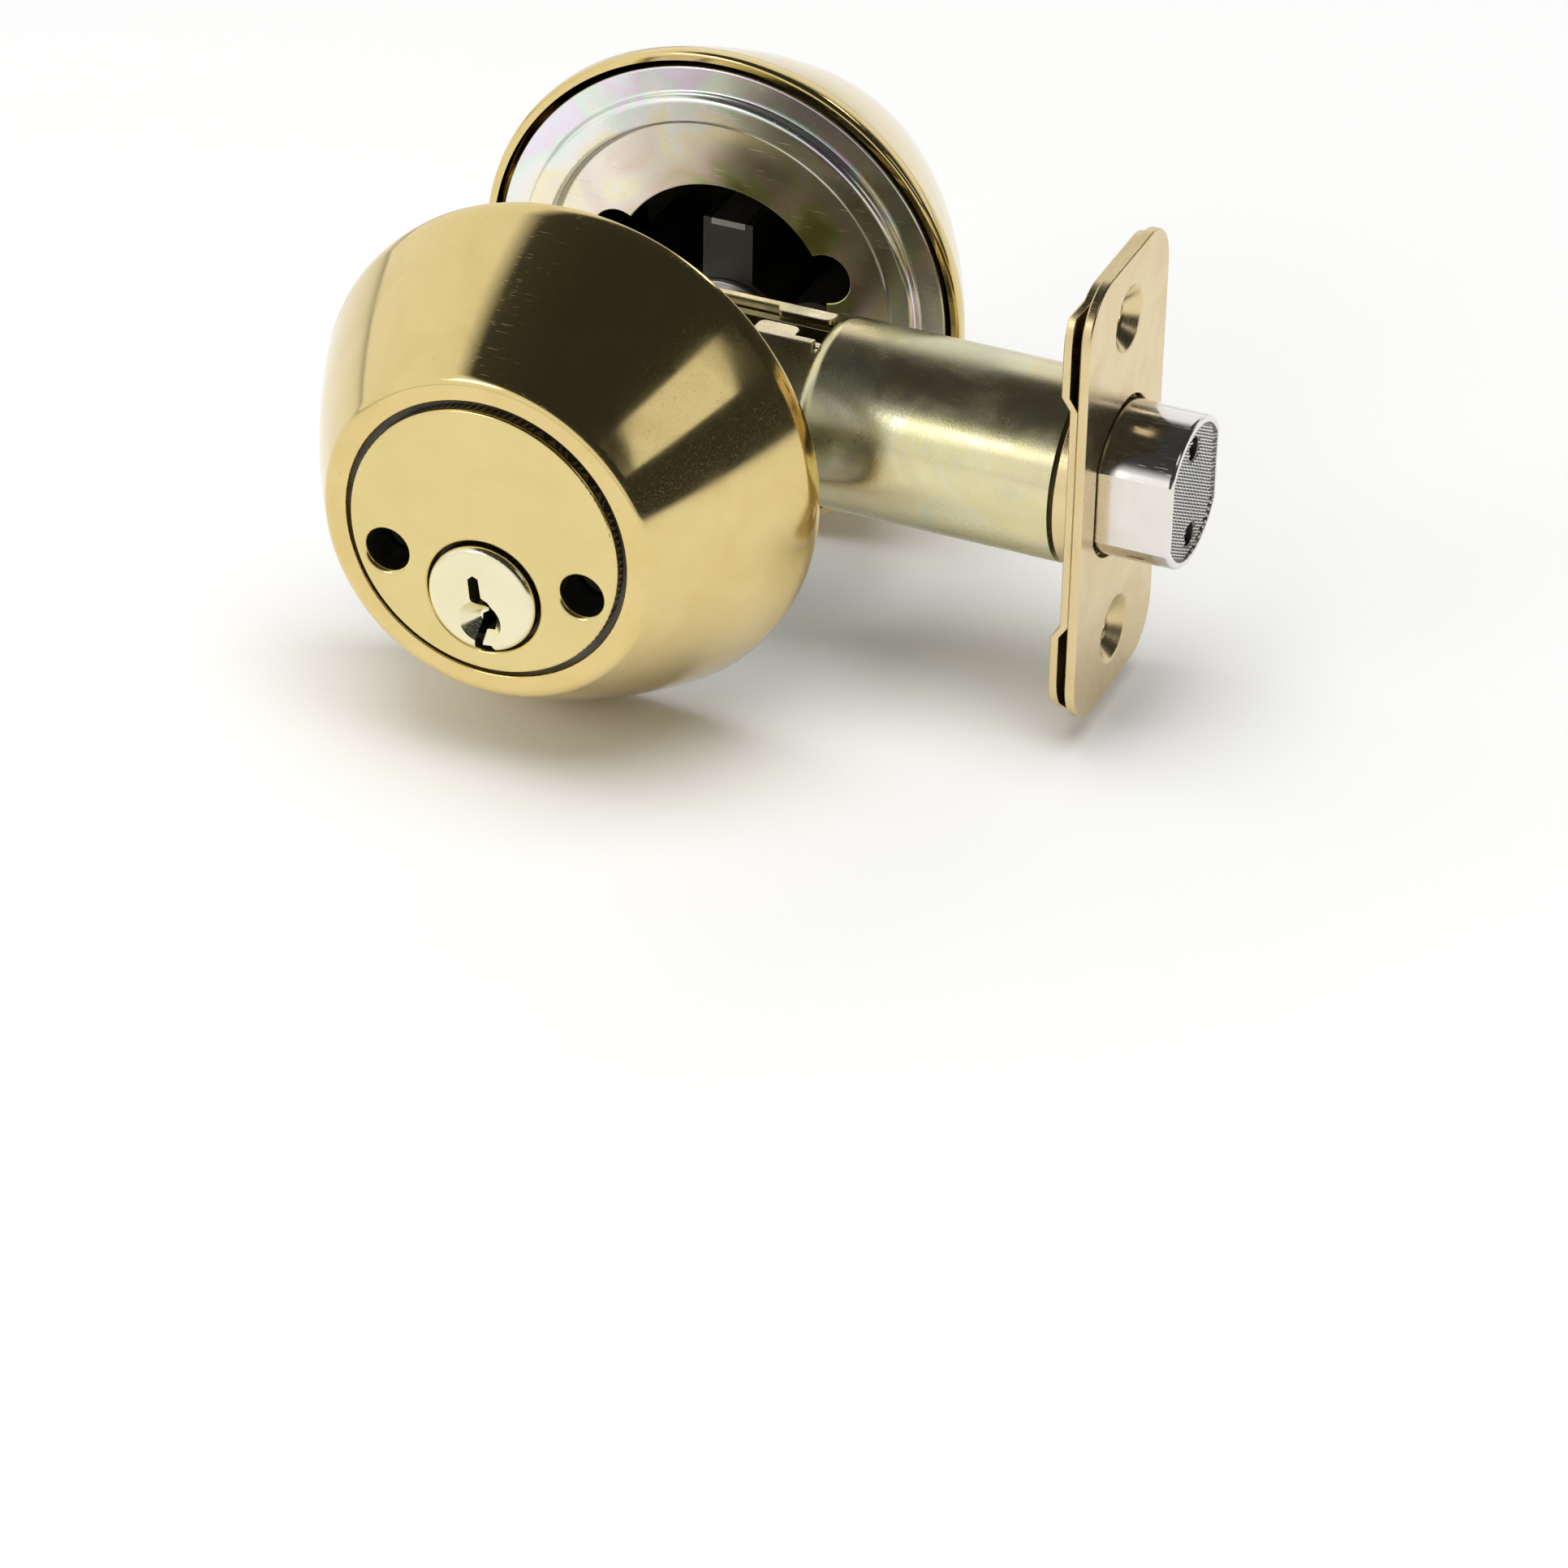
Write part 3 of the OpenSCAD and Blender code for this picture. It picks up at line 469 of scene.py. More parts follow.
class WornEdge(Effect):
    """Outer edges, where plating is rubbed bright."""

    name = "Worn edges"
    inputs = (("Width", "NodeSocketFloat", 0.25),)

    @classmethod
    def build(cls, graph: Graph, given: bpy.types.Node) -> dict[str, bpy.types.NodeSocket]:
        """Compares the rounded normal with the true one, broken up by noise."""
        radius = graph.math("MULTIPLY", given.outputs["Width"], MM)
        rounded = graph.node("ShaderNodeBevel", {"samples": 4}, Radius=radius)
        true = graph.node("ShaderNodeNewGeometry")
        facing = graph.node("ShaderNodeVectorMath", {"operation": "DOT_PRODUCT"})
        graph.feed(facing.inputs[0], rounded.outputs[0])
        graph.feed(facing.inputs[1], true.outputs["Normal"])
        turned = graph.spread(facing.outputs["Value"], 0.995, 0.86)
        broken = graph.spread(graph.noise(given.outputs["Place"], 1.4, 3.0), 0.3, 0.6)
        return {"Mask": graph.math("MULTIPLY", turned, broken)}


class Rainbow(Effect):
    """Interference colours of a chromated zinc plating, in rings round the pressed opening; the near-white
    band on the bead is a painted highlight.
    """

    name = "Chromate colours"
    inputs = (("Size", "NodeSocketFloat", 14.0), ("Rings", "NodeSocketFloat", 1.0))
    outputs = (("Colour", "NodeSocketColor"),)
    inner: float = 14.0
    span: float = 15.5
    # The near-white stop at 0.64 falls on the bead's radius and is a painted highlight; the other stops are
    # chromate colours.
    bands: tuple[tuple[float, Colour], ...] = (
        (0.0, (0.46, 0.46, 0.10)), (0.10, (0.60, 0.66, 0.32)), (0.22, (0.82, 0.66, 0.58)),
        (0.40, (0.84, 0.77, 0.68)), (0.52, (0.90, 0.82, 0.56)), (0.64, (0.87, 0.86, 0.84)),
        (0.78, (0.74, 0.86, 0.78)), (0.90, (0.86, 0.72, 0.87)), (1.0, (0.80, 0.79, 0.88)))

    @classmethod
    def build(cls, graph: Graph, given: bpy.types.Node) -> dict[str, bpy.types.NodeSocket]:
        """Runs the distance from the opening, shifted by a slow noise, through thin-film colours."""
        scale = graph.math("DIVIDE", 1.0, given.outputs["Size"])
        slow = graph.noise(given.outputs["Place"], scale, 2.0, 1.0)
        parts = graph.node("ShaderNodeSeparateXYZ", None, Vector=given.outputs["Place"])
        squares = [graph.math("POWER", parts.outputs[axis], 2.0) for axis in ("X", "Z")]
        radius = graph.math("SQRT", graph.math("ADD", *squares))
        ring = graph.math("DIVIDE", graph.math("SUBTRACT", radius, cls.inner), cls.span)
        ring = graph.math("MULTIPLY", graph.math("SUBTRACT", ring, 0.5), given.outputs["Rings"])
        shift = graph.math("MULTIPLY", graph.math("SUBTRACT", slow, 0.5), 1.5)
        film = graph.math("ADD", graph.math("ADD", ring, 0.5), shift)
        ramp = graph.node("ShaderNodeValToRGB", None, Fac=film)
        stops = ramp.color_ramp.elements
        for index, (place, colour) in enumerate(cls.bands):
            stop = stops[index] if index < 2 else stops.new(place)
            stop.position = place
            stop.color = (*colour, 1.0)
        return {"Colour": ramp.outputs[0]}


@dataclass(frozen=True)
class Finish:
    """A metal finish: its tint, polish, grain and signs of handling.

    Args:
        name: Name of the material.
        tint: Reflected colour.
        shade: Colour of its darker patches.
        roughness: Roughness of clean surface.
        swing: Roughness that haze adds.
        scratches: Density of hairline scratches.
        scratch_depth: Depth of a scratch in the bump, in millimetres.
        grain: Size of the grain, in millimetres.
        grain_depth: Height of the grain in the bump, in millimetres.
        fleck: How strongly single grains differ in colour.
        speck: Spacing of plating specks, in millimetres, or 0 for none.
        worn: How far rubbed edges brighten.
        edge_tint: Colour of those edges.
        metallic: How metallic the surface is.
        coat: Weight of a clear lacquer.
        stretch: Scale of the grain along X, Y and Z, for a drawn or brushed surface.
        slot: The record's material slot; not used.
    """

    name: str
    tint: Colour
    shade: Colour
    roughness: float
    swing: float = 0.06
    scratches: float = 0.4
    scratch_depth: float = 0.004
    grain: float = 0.15
    grain_depth: float = 0.002
    fleck: float = 0.0
    speck: float = 0.0
    worn: float = 0.0
    edge_tint: Colour = (0.9, 0.88, 0.84)
    metallic: float = 1.0
    coat: float = 0.0
    stretch: tuple[float, float, float] = (1.0, 1.0, 1.0)
    slot: str = ""

    def colour(self, graph: Graph, place: Socket, haze: Socket) -> Socket:
        """Gives the finish's own colour before wear.

        Args:
            graph: The material's tree.
            place: Position in millimetres.
            haze: Mask of the darker patches.

        Returns:
            The colour's socket.
        """
        return graph.mix(graph.math("MULTIPLY", haze, 0.5), self.tint, self.shade)

    def material(self) -> bpy.types.Material:
        """Returns the finish's material, made when it is first asked for."""
        if self.name in bpy.data.materials:
            return bpy.data.materials[self.name]
        made = bpy.data.materials.new(self.name)
        made.use_nodes = True
        made.node_tree.nodes.clear()
        graph = Graph(made.node_tree)
        shader = graph.node("ShaderNodeBsdfPrincipled", None, Metallic=self.metallic, Coat_Weight=self.coat,
                            Coat_Roughness=0.04)
        output = graph.node("ShaderNodeOutputMaterial")
        graph.feed(output.inputs["Surface"], shader.outputs[0])
        at = graph.node("ShaderNodeTexCoord").outputs["Object"]
        scaled = graph.node("ShaderNodeVectorMath", {"operation": "SCALE"}, Scale=1000.0)
        graph.feed(scaled.inputs[0], at)
        place = scaled.outputs[0]
        drawn = graph.node("ShaderNodeMapping", None, Vector=place, Scale=self.stretch).outputs[0]
        haze = Haze.use(graph, place).outputs[0]
        lines = Hairlines.use(graph, place, Density=self.scratches).outputs[0]
        grain = Grain.use(graph, drawn, Size=self.grain)
        colour = self.colour(graph, place, haze)
        if self.fleck:
            amount = graph.math("MULTIPLY", grain.outputs["Fleck"], self.fleck)
            colour = graph.mix(amount, colour, self.edge_tint)
        if self.speck:
            speck = Specks.use(graph, place, Spacing=self.speck).outputs[0]
            colour = graph.mix(graph.math("MULTIPLY", speck, 0.55), colour, self.shade)
        colour = graph.mix(graph.math("MULTIPLY", lines, 0.18), colour, self.edge_tint)
        if self.worn:
            edge = WornEdge.use(graph, place).outputs[0]
            colour = graph.mix(graph.math("MULTIPLY", edge, self.worn), colour, self.edge_tint)
        graph.feed(shader.inputs["Base Color"], colour)
        rough = graph.math("ADD", graph.math("MULTIPLY", haze, self.swing), self.roughness)
        rough = graph.math("ADD", rough, graph.math("MULTIPLY", lines, 0.12))
        ripple = graph.math("MULTIPLY", graph.math("SUBTRACT", grain.outputs["Mask"], 0.5), self.swing)
        graph.feed(shader.inputs["Roughness"], graph.math("ADD", rough, ripple))
        height = graph.math("MULTIPLY", grain.outputs["Mask"], self.grain_depth)
        cut = graph.math("MULTIPLY", lines, self.scratch_depth)
        relief = graph.math("SUBTRACT", height, cut)
        bump = graph.node("ShaderNodeBump", None, Strength=1.0, Distance=MM, Height=relief)
        graph.feed(shader.inputs["Normal"], bump.outputs[0])
        return made


@dataclass(frozen=True)
class ChromateFinish(Finish):
    """A zinc plating with rainbow interference colours over its tint."""

    strength: float = 0.9
    patch: float = 14.0
    rings: float = 0.0

    def colour(self, graph: Graph, place: Socket, haze: Socket) -> Socket:
        """Mixes the plating's tint with the chromate colours."""
        film = Rainbow.use(graph, place, Size=self.patch, Rings=self.rings).outputs["Colour"]
        base = graph.mix(graph.math("MULTIPLY", haze, 0.4), self.tint, self.shade)
        return graph.mix(self.strength, base, film)


POLISHED_BRASS = Finish(
    "Polished brass", (0.75, 0.59, 0.26), (0.67, 0.51, 0.19), 0.085, swing=0.05, scratches=0.36,
    scratch_depth=0.003, grain=0.12, grain_depth=0.0006, speck=2.6, coat=0.2,
    edge_tint=(0.92, 0.80, 0.48), slot="polished_brass")
FACE_BRASS = Finish("Satin polished brass face", (0.745, 0.61, 0.275), (0.69, 0.55, 0.22), 0.15, swing=0.05,
                    scratches=0.4, scratch_depth=0.003, grain=0.1, grain_depth=0.0015, coat=0.15,
                    edge_tint=(0.93, 0.84, 0.54), slot="plated_die_cast")
# Raw casting colour, darkened far below bare zinc as painted shade for the housing's hidden back and deep
# bores.
SHADED_DIE_CAST = Finish(
    "Raw die casting", (0.11, 0.105, 0.095), (0.06, 0.057, 0.05), 0.42, swing=0.14, scratches=0.3,
    grain=0.45, grain_depth=0.03, fleck=0.2, worn=0.5, edge_tint=(0.26, 0.25, 0.23),
    slot="plated_die_cast")
PLUG_NICKEL = Finish(
    "Nickel brass plug", (0.86, 0.80, 0.56), (0.80, 0.73, 0.48), 0.17, swing=0.05, scratches=0.5,
    grain=0.1, grain_depth=0.002, edge_tint=(0.95, 0.90, 0.74), slot="polished_nickel")
BOLT_NICKEL = Finish(
    "Bright nickel bolt", (0.82, 0.79, 0.75), (0.70, 0.64, 0.56), 0.09, swing=0.10, scratches=0.5,
    scratch_depth=0.003, grain=0.5, grain_depth=0.003, stretch=(0.2, 1.0, 1.0),
    edge_tint=(0.93, 0.92, 0.90), slot="polished_nickel")
STUD_NICKEL = Finish("Nickel studs", (0.74, 0.73, 0.71), (0.52, 0.50, 0.47), 0.2, swing=0.1, scratches=0.2,
                     grain=0.2, grain_depth=0.004, edge_tint=(0.9, 0.89, 0.87), slot="polished_nickel")
# The bolt's nickel painted near black between the studs: painted shade in the gaps.
SHADED_FIELD_NICKEL = Finish(
    "Dull nickel between the studs", (0.22, 0.21, 0.20), (0.13, 0.12, 0.11), 0.4, swing=0.1,
    scratches=0.1, grain=0.2, grain_depth=0.008, edge_tint=(0.3, 0.3, 0.29), slot="polished_nickel")
SATIN_BRASS = Finish(
    "Satin brass plate", (0.76, 0.61, 0.345), (0.67, 0.52, 0.27), 0.22, swing=0.08, scratches=0.3,
    grain=0.45, grain_depth=0.012, worn=0.6, edge_tint=(0.94, 0.82, 0.52), slot="satin_brass")
# The sleeve seen in the gap at the tube's end, painted near black as shade.
SLEEVE_PAINTED_SHADE = Finish(
    "Unplated brass sleeve", (0.10, 0.085, 0.05), (0.06, 0.05, 0.03), 0.5, swing=0.1, grain=0.3,
    grain_depth=0.01, edge_tint=(0.2, 0.17, 0.1), slot="satin_brass")
YELLOW_ZINC = ChromateFinish(
    "Yellow zinc", (0.67, 0.60, 0.30), (0.50, 0.50, 0.22), 0.19, swing=0.12, scratches=0.06,
    scratch_depth=0.0008, grain=0.26, grain_depth=0.010, fleck=0.5, edge_tint=(0.92, 0.88, 0.70),
    strength=0.3, patch=10.0, slot="yellow_zinc")
CASE_ZINC = ChromateFinish(
    "Chassis zinc", (0.62, 0.55, 0.33), (0.42, 0.39, 0.22), 0.24, swing=0.12, scratches=0.3, grain=0.3,
    grain_depth=0.006, fleck=0.3, worn=0.7, edge_tint=(0.92, 0.88, 0.74), strength=0.25, patch=7.0,
    slot="yellow_zinc")
RAINBOW_ZINC = ChromateFinish("Rainbow zinc", (0.82, 0.80, 0.74), (0.74, 0.74, 0.52), 0.18, swing=0.08,
                              scratches=0.25, grain=0.35, grain_depth=0.006, fleck=0.15, worn=0.4,
                              edge_tint=(0.86, 0.86, 0.60), strength=0.86, patch=13.0, rings=1.0,
                              slot="iridescent_zinc")
PLAIN_STEEL = Finish("Zinc plated steel", (0.62, 0.62, 0.62), (0.48, 0.48, 0.47), 0.28, swing=0.1, grain=0.3,
                     grain_depth=0.006, worn=0.4, slot="plain_steel")
DARK_STEEL = Finish("Dark screw steel", (0.16, 0.15, 0.14), (0.10, 0.10, 0.09), 0.34, swing=0.1, grain=0.2,
                    grain_depth=0.006, slot="dark_screw_steel")
HARD_STEEL = Finish("Hardened steel", (0.10, 0.10, 0.10), (0.06, 0.06, 0.06), 0.42, swing=0.1, grain=0.2,
                    grain_depth=0.004, slot="hardened_steel")
SPRING_STEEL = Finish("Spring steel", (0.55, 0.56, 0.58), (0.42, 0.43, 0.45), 0.24, grain=0.2,
                      grain_depth=0.002, slot="spring_steel")
PIN_BRASS = Finish("Pin brass", (0.84, 0.66, 0.33), (0.72, 0.55, 0.26), 0.22, grain=0.2, grain_depth=0.003,
                   slot="pin_brass")


# ---------------------------------------------------------------- pieces


def body_of_node(node: str) -> str:
    """Returns the name of the body that holds a CAD node."""
    bodies = frame["record"]["behaviour"]["bodies"]
    return next(name for name, members in bodies.items() if node in members)


def carried(node: str, finishes: Sequence[Finish], edge: float = 0.0, corner: float = 34.0,
            choose: Callable[[Vector], int] | None = None) -> bpy.types.Object:
    """Makes a smooth-shaded, edge-rounded copy of a CAD node whose shape is right.

    Args:
        node: Name of the CAD node.
        finishes: The finishes that it wears.
        edge: Width of the rounding on its sharp edges, in millimetres.
        corner: Angle past which an edge counts as sharp, in degrees.
        choose: Picks a finish's number from a face's middle, in millimetres.

    Returns:
        The new object.
    """
    mesh = bmesh.new()
    mesh.from_mesh(frame["nodes"][node].data)
    mesh.transform(Matrix.Scale(1 / MM, 4))
    bmesh.ops.remove_doubles(mesh, verts=mesh.verts, dist=0.002)
    bmesh.ops.dissolve_degenerate(mesh, dist=0.002, edges=mesh.edges)
    for face in mesh.faces:
        face.material_index = choose(face.calc_center_median()) if choose else 0
    if edge:
        bmesh.ops.dissolve_limit(mesh, angle_limit=math.radians(0.4), verts=mesh.verts, edges=mesh.edges,
                                 delimit={"MATERIAL"})
    piece = Piece(f"{node}_piece", (node,), body_of_node(node))
    return piece.finish(mesh, finishes, edge=edge, corner=corner, closed=False)


def dress(node: str, finish: Finish) -> None:
    """Gives a CAD node that stays its finish."""
    data = frame["nodes"][node].data
    data.materials.clear()
    data.materials.append(finish.material())
    LOG.info("%s: dressed in %s", node, finish.name)


@dataclass
class Collar:
    """The tapered cover on one side of the door, with a flat ring round the cylinder."""

    half: Half
    door_t: float = 42.0
    radius: float = 31.5
    depth: float = 23.5
    wall: float = 1.1
    ring_r: float = 21.0
    hole_r: float = 17.6
    band: float = 1.6
    bulge: float = 0.6
    rim_round: float = 0.55
    crown_round: float = 1.8
    lip_round: float = 0.3

    def section(self, mesh: BMesh) -> Pen:
        """Draws the shell's closed half section, from the ring's inner lip round the outside and back.

        Args:
            mesh: The mesh to draw in.

        Returns:
            The pen, with its loop closed.
        """
        inner = self.wall
        crown = self.crown_round
        start = math.radians(28)
        top_r, top_h = self.ring_r - crown, self.depth - crown
        pen = Pen(mesh, (self.radius - inner, 0), Plane.SECTION)
        pen.line((self.radius - self.rim_round, 0))
        pen.arc((self.radius - self.rim_round, self.rim_round), 90, 6)
        pen.line((self.radius, self.band))
        pen.bow((top_r + crown * math.cos(start), top_h + crown * math.sin(start)), self.bulge, 20)
        pen.arc((top_r, top_h), 62, 8)
        pen.line((self.hole_r + self.lip_round, self.depth))
        pen.arc((self.hole_r + self.lip_round, self.depth - self.lip_round), 90, 4)
        pen.line((self.hole_r, self.depth - inner))
        pen.line((self.ring_r - crown, self.depth - inner))
        pen.line((self.ring_r - inner + 0.1, self.depth - inner - 0.9))
        pen.line((self.radius - inner, self.band + inner))
        pen.close()
        return pen

    def build(self) -> bpy.types.Object:
        """Spins the shell and dresses it in polished brass."""
        mesh = bmesh.new()
        revolve(mesh, self.section(mesh), 192)
        node = f"{self.half.word}_collar"
        return Piece(f"{node}_shell", (node,), "chassis").finish(
            mesh, [POLISHED_BRASS], self.half.placing(self.door_t), corner=50)


@dataclass
class BackingPlate:
    """The pressed plate inside a collar, with a round bead and a lobed opening."""

    half: Half
    door_t: float = 42.0
    gap: float = 0.3
    sheet: float = 1.0
    radius: float = 29.5
    bead_out: float = 26.2
    bead_w: float = 3.8
    bead_h: float = 1.4
    bead_round: float = 0.9
    foot_round: float = 0.35
    opening_r: float = 14.0
    lobe_r: float = 3.2
    lobe_reach: float = 14.518
    lobe_angle: float = 18.5

    def opening(self, mesh: BMesh, height: float) -> list[BMVert]:
        """Draws the opening: a circle with a lobe at each through bolt's place.

        Args:
            mesh: The mesh to draw in.
            height: The drawing's place along Z.

        Returns:
            The outline's points.
        """
        main, lobe, reach = self.opening_r, self.lobe_r, self.lobe_reach
        half_gap = math.degrees(math.acos((main ** 2 + reach ** 2 - lobe ** 2) / (2 * main * reach)))
        inner = math.degrees(math.acos((reach ** 2 + lobe ** 2 - main ** 2) / (2 * reach * lobe)))
        swing = 2 * (180 - inner)
        start = math.radians(half_gap - self.lobe_angle)
        pen = Pen(mesh, (main * math.cos(start), main * math.sin(start)), Plane.OUTLINE, height)
        turns = (self.lobe_angle, 180 - self.lobe_angle, 180 + self.lobe_angle, 360 - self.lobe_angle)
        behind = -self.lobe_angle
        for turn in turns:
            pen.arc((0, 0), turn - behind - 2 * half_gap, 32 if turn - behind > 90 else 4)
            angle = math.radians(turn)
            pen.arc((reach * math.cos(angle), reach * math.sin(angle)), swing, 20)
            behind = turn
        return pen.verts

    def build(self) -> bpy.types.Object:
        """Spins the rim and bead, fills the sheet round the opening and dresses the plate."""
        mesh = bmesh.new()
        low, high = self.gap, self.gap + self.sheet
        bead_in = self.bead_out - self.bead_w
        top = low - self.bead_h
        soft, foot = self.bead_round, self.foot_round
        inner_r = bead_in - foot
        pen = Pen(mesh, (inner_r, low), Plane.SECTION)
        pen.arc((inner_r, low - foot), -90, 4)
        pen.line((bead_in, top + soft))
        pen.arc((bead_in + soft, top + soft), 90, 8)
        pen.line((self.bead_out - soft, top))
        pen.arc((self.bead_out - soft, top + soft), 90, 8)
        pen.line((self.bead_out, low - foot))
        pen.arc((self.bead_out + foot, low - foot), -90, 4)
        pen.line((self.radius - 0.3, low))
        pen.arc((self.radius - 0.3, low + 0.3), 90, 4)
        pen.line((self.radius, high))
        pen.line((self.bead_out - 1, high), (self.bead_out - 1, top + self.sheet + 0.4),
                 (self.bead_out - 1.4, top + self.sheet), (bead_in + 1.4, top + self.sheet),
                 (bead_in + 1, top + self.sheet + 0.4), (bead_in + 1, high), (inner_r, high))
        revolve(mesh, pen)
        bmesh.ops.remove_doubles(mesh, verts=mesh.verts, dist=0.0005)
        reach = [vert for vert in mesh.verts if abs(vert.co.xy.length - inner_r) < 0.001]
        front_ring = [vert for vert in reach if abs(vert.co.z - low) < 0.001]
        back_ring = [vert for vert in reach if abs(vert.co.z - high) < 0.001]
        front_hole = self.opening(mesh, low)
        bmesh.ops.remove_doubles(mesh, verts=front_hole, dist=0.0005)
        front_hole = [vert for vert in front_hole if vert.is_valid]
        back_hole = raise_loop(mesh, front_hole, self.sheet)
        fill_between(mesh, front_ring, front_hole)
        fill_between(mesh, back_ring, back_hole)
        node = f"{self.half.word}_backing_plate"
        return Piece(f"{node}_sheet", (node,), "chassis").finish(
            mesh, [RAINBOW_ZINC], self.half.placing(self.door_t), edge=0.16, corner=60)


@dataclass
class Cylinder:
    """One lock cylinder: its housing behind the face disc, plug, cap, tailpiece, pins and springs."""

    half: Half
    door_t: float = 42.0
    disc_from: float = 22.9
    plug_bore_r: float = 7.14
    screw_bore_r: float = 2.64
    lip: float = 1.0
    face_h: float = 24.1
    plug_drop: float = 7.2
    screw_x: float = 12.25
    screw_drop: float = 4.1

    def is_face(self, middle: Vector) -> int:
        """Tells the plated face from the raw casting behind it, and gives the deep bore walls that casting's
        dark finish as painted shade.
        """
        height = abs(middle.y) - self.door_t / 2
        from_screw = math.hypot(abs(middle.x) - self.screw_x, middle.z + self.screw_drop)
        from_plug = math.hypot(middle.x, middle.z + self.plug_drop)
        in_bore = from_screw < self.screw_bore_r or from_plug < self.plug_bore_r
        deep_in_shade = height < self.face_h - self.lip
        # Deep bore walls get the dark casting finish: painted shade inside the holes.
        return 1 if height < self.disc_from or (in_bore and deep_in_shade) else 0

    def build(self) -> list[bpy.types.Object]:
        """Carries the turned and cast pieces over and dresses the small ones inside."""
        side = self.half.word
        made = [
            carried(f"{side}_housing", [FACE_BRASS, SHADED_DIE_CAST], choose=self.is_face),
            carried(f"{side}_plug", [PLUG_NICKEL]),
            carried(f"{side}_plug_cap", [PLAIN_STEEL], edge=0.12),
            carried(f"{side}_tailpiece", [PLAIN_STEEL], edge=0.1),
        ]
        dress(f"{side}_key_pins", PIN_BRASS)
        dress(f"{side}_driver_pins", PLAIN_STEEL)
        dress(f"{side}_pin_springs", SPRING_STEEL)
        dress(f"{side}_chamber_cover", PLAIN_STEEL)
        return made


@dataclass
class Faceplate:
    """The rounded plate in the door's edge, with countersunk holes and a hole shaped like the bolt."""

    front: float = 60.3
    thickness: float = 1.2
    width: float = 25.4
    height: float = 57.15
    corner: float = 6.35
    bolt_r: float = 9.25
    flat_half: float = 8.05
    clearance: float = 0.5
    pitch: float = 41.3
    hole_r: float = 2.45
    sink_r: float = 4.15
    dimple: float = 1.05

    def outline(self, mesh: BMesh) -> list[BMVert]:
        """Draws the rounded rectangle.

        Args:
            mesh: The mesh to draw in.

        Returns:
            Its points.
        """
        half_w, half_h, r = self.width / 2, self.height / 2, self.corner
        pen = Pen(mesh, (half_w, r - half_h), Plane.OUTLINE, self.front)
        for x, y, turn in ((1, 1, 0), (-1, 1, 90), (-1, -1, 180), (1, -1, 270)):
            angle = math.radians(turn)
            centre = (x * (half_w - r), y * (half_h - r))
            pen.line((centre[0] + r * math.cos(angle), centre[1] + r * math.sin(angle)))
            pen.arc(centre, 90, 14)
        return pen.verts

    def build(self) -> bpy.types.Object:
        """Cuts the openings in the sheet, sinks the screw holes and dresses the plate."""
        mesh = bmesh.new()
        edge = self.outline(mesh)
        bmesh.ops.remove_doubles(mesh, verts=edge, dist=0.0005)
        edge = [vert for vert in edge if vert.is_valid]
        window = bolt_outline(mesh, self.bolt_r + self.clearance, self.flat_half + self.clearance, self.front)
        sinks = [circle(mesh, self.sink_r, self.front, (0, side * self.pitch / 2), 72) for side in (-1, 1)]
        fill_between(mesh, edge, window, *sinks)
        back_edge = raise_loop(mesh, edge, -self.thickness)
        back_window = raise_loop(mesh, window, -self.thickness)
        feet: list[list[BMVert]] = []
        sunk = self.sink_r - self.hole_r
        for side, rim in zip((-1, 1), sinks):
            centre = (0, side * self.pitch / 2)
            neck = raise_loop(mesh, rim, -sunk, self.hole_r / self.sink_r, centre)
            tip = raise_loop(mesh, neck, sunk - self.thickness - self.dimple, 1.0, centre)
            lip = raise_loop(mesh, tip, 0.0, (self.hole_r + 1) / self.hole_r, centre)
            feet.append(raise_loop(mesh, lip, self.dimple, (self.sink_r + 0.6) / (self.hole_r + 1), centre))
        fill_between(mesh, back_edge, back_window, *feet)
        return Piece("faceplate_sheet", ("faceplate",), "chassis").finish(
            mesh, [SATIN_BRASS], ALONG_BOLT, edge=0.2, corner=32)


def bolt_outline(mesh: BMesh, radius: float, flat_half: float, height: float) -> list[BMVert]:
    """Draws the bolt's outline: a circle with two flats.

    Args:
        mesh: The mesh to draw in.
        radius: Radius of the round sides.
        flat_half: Distance from the axis to each flat.
        height: The drawing's place along Z.

    Returns:
        The outline's points.
    """
    start = math.acos(flat_half / radius)
    sweep = 180 - 2 * math.degrees(start)
    pen = Pen(mesh, (radius * math.cos(start), radius * math.sin(start)), Plane.OUTLINE, height)
    pen.arc((0, 0), sweep, 40)
    pen.line((-flat_half, -radius * math.sin(start)))
    pen.arc((0, 0), sweep, 40)
    return pen.close()


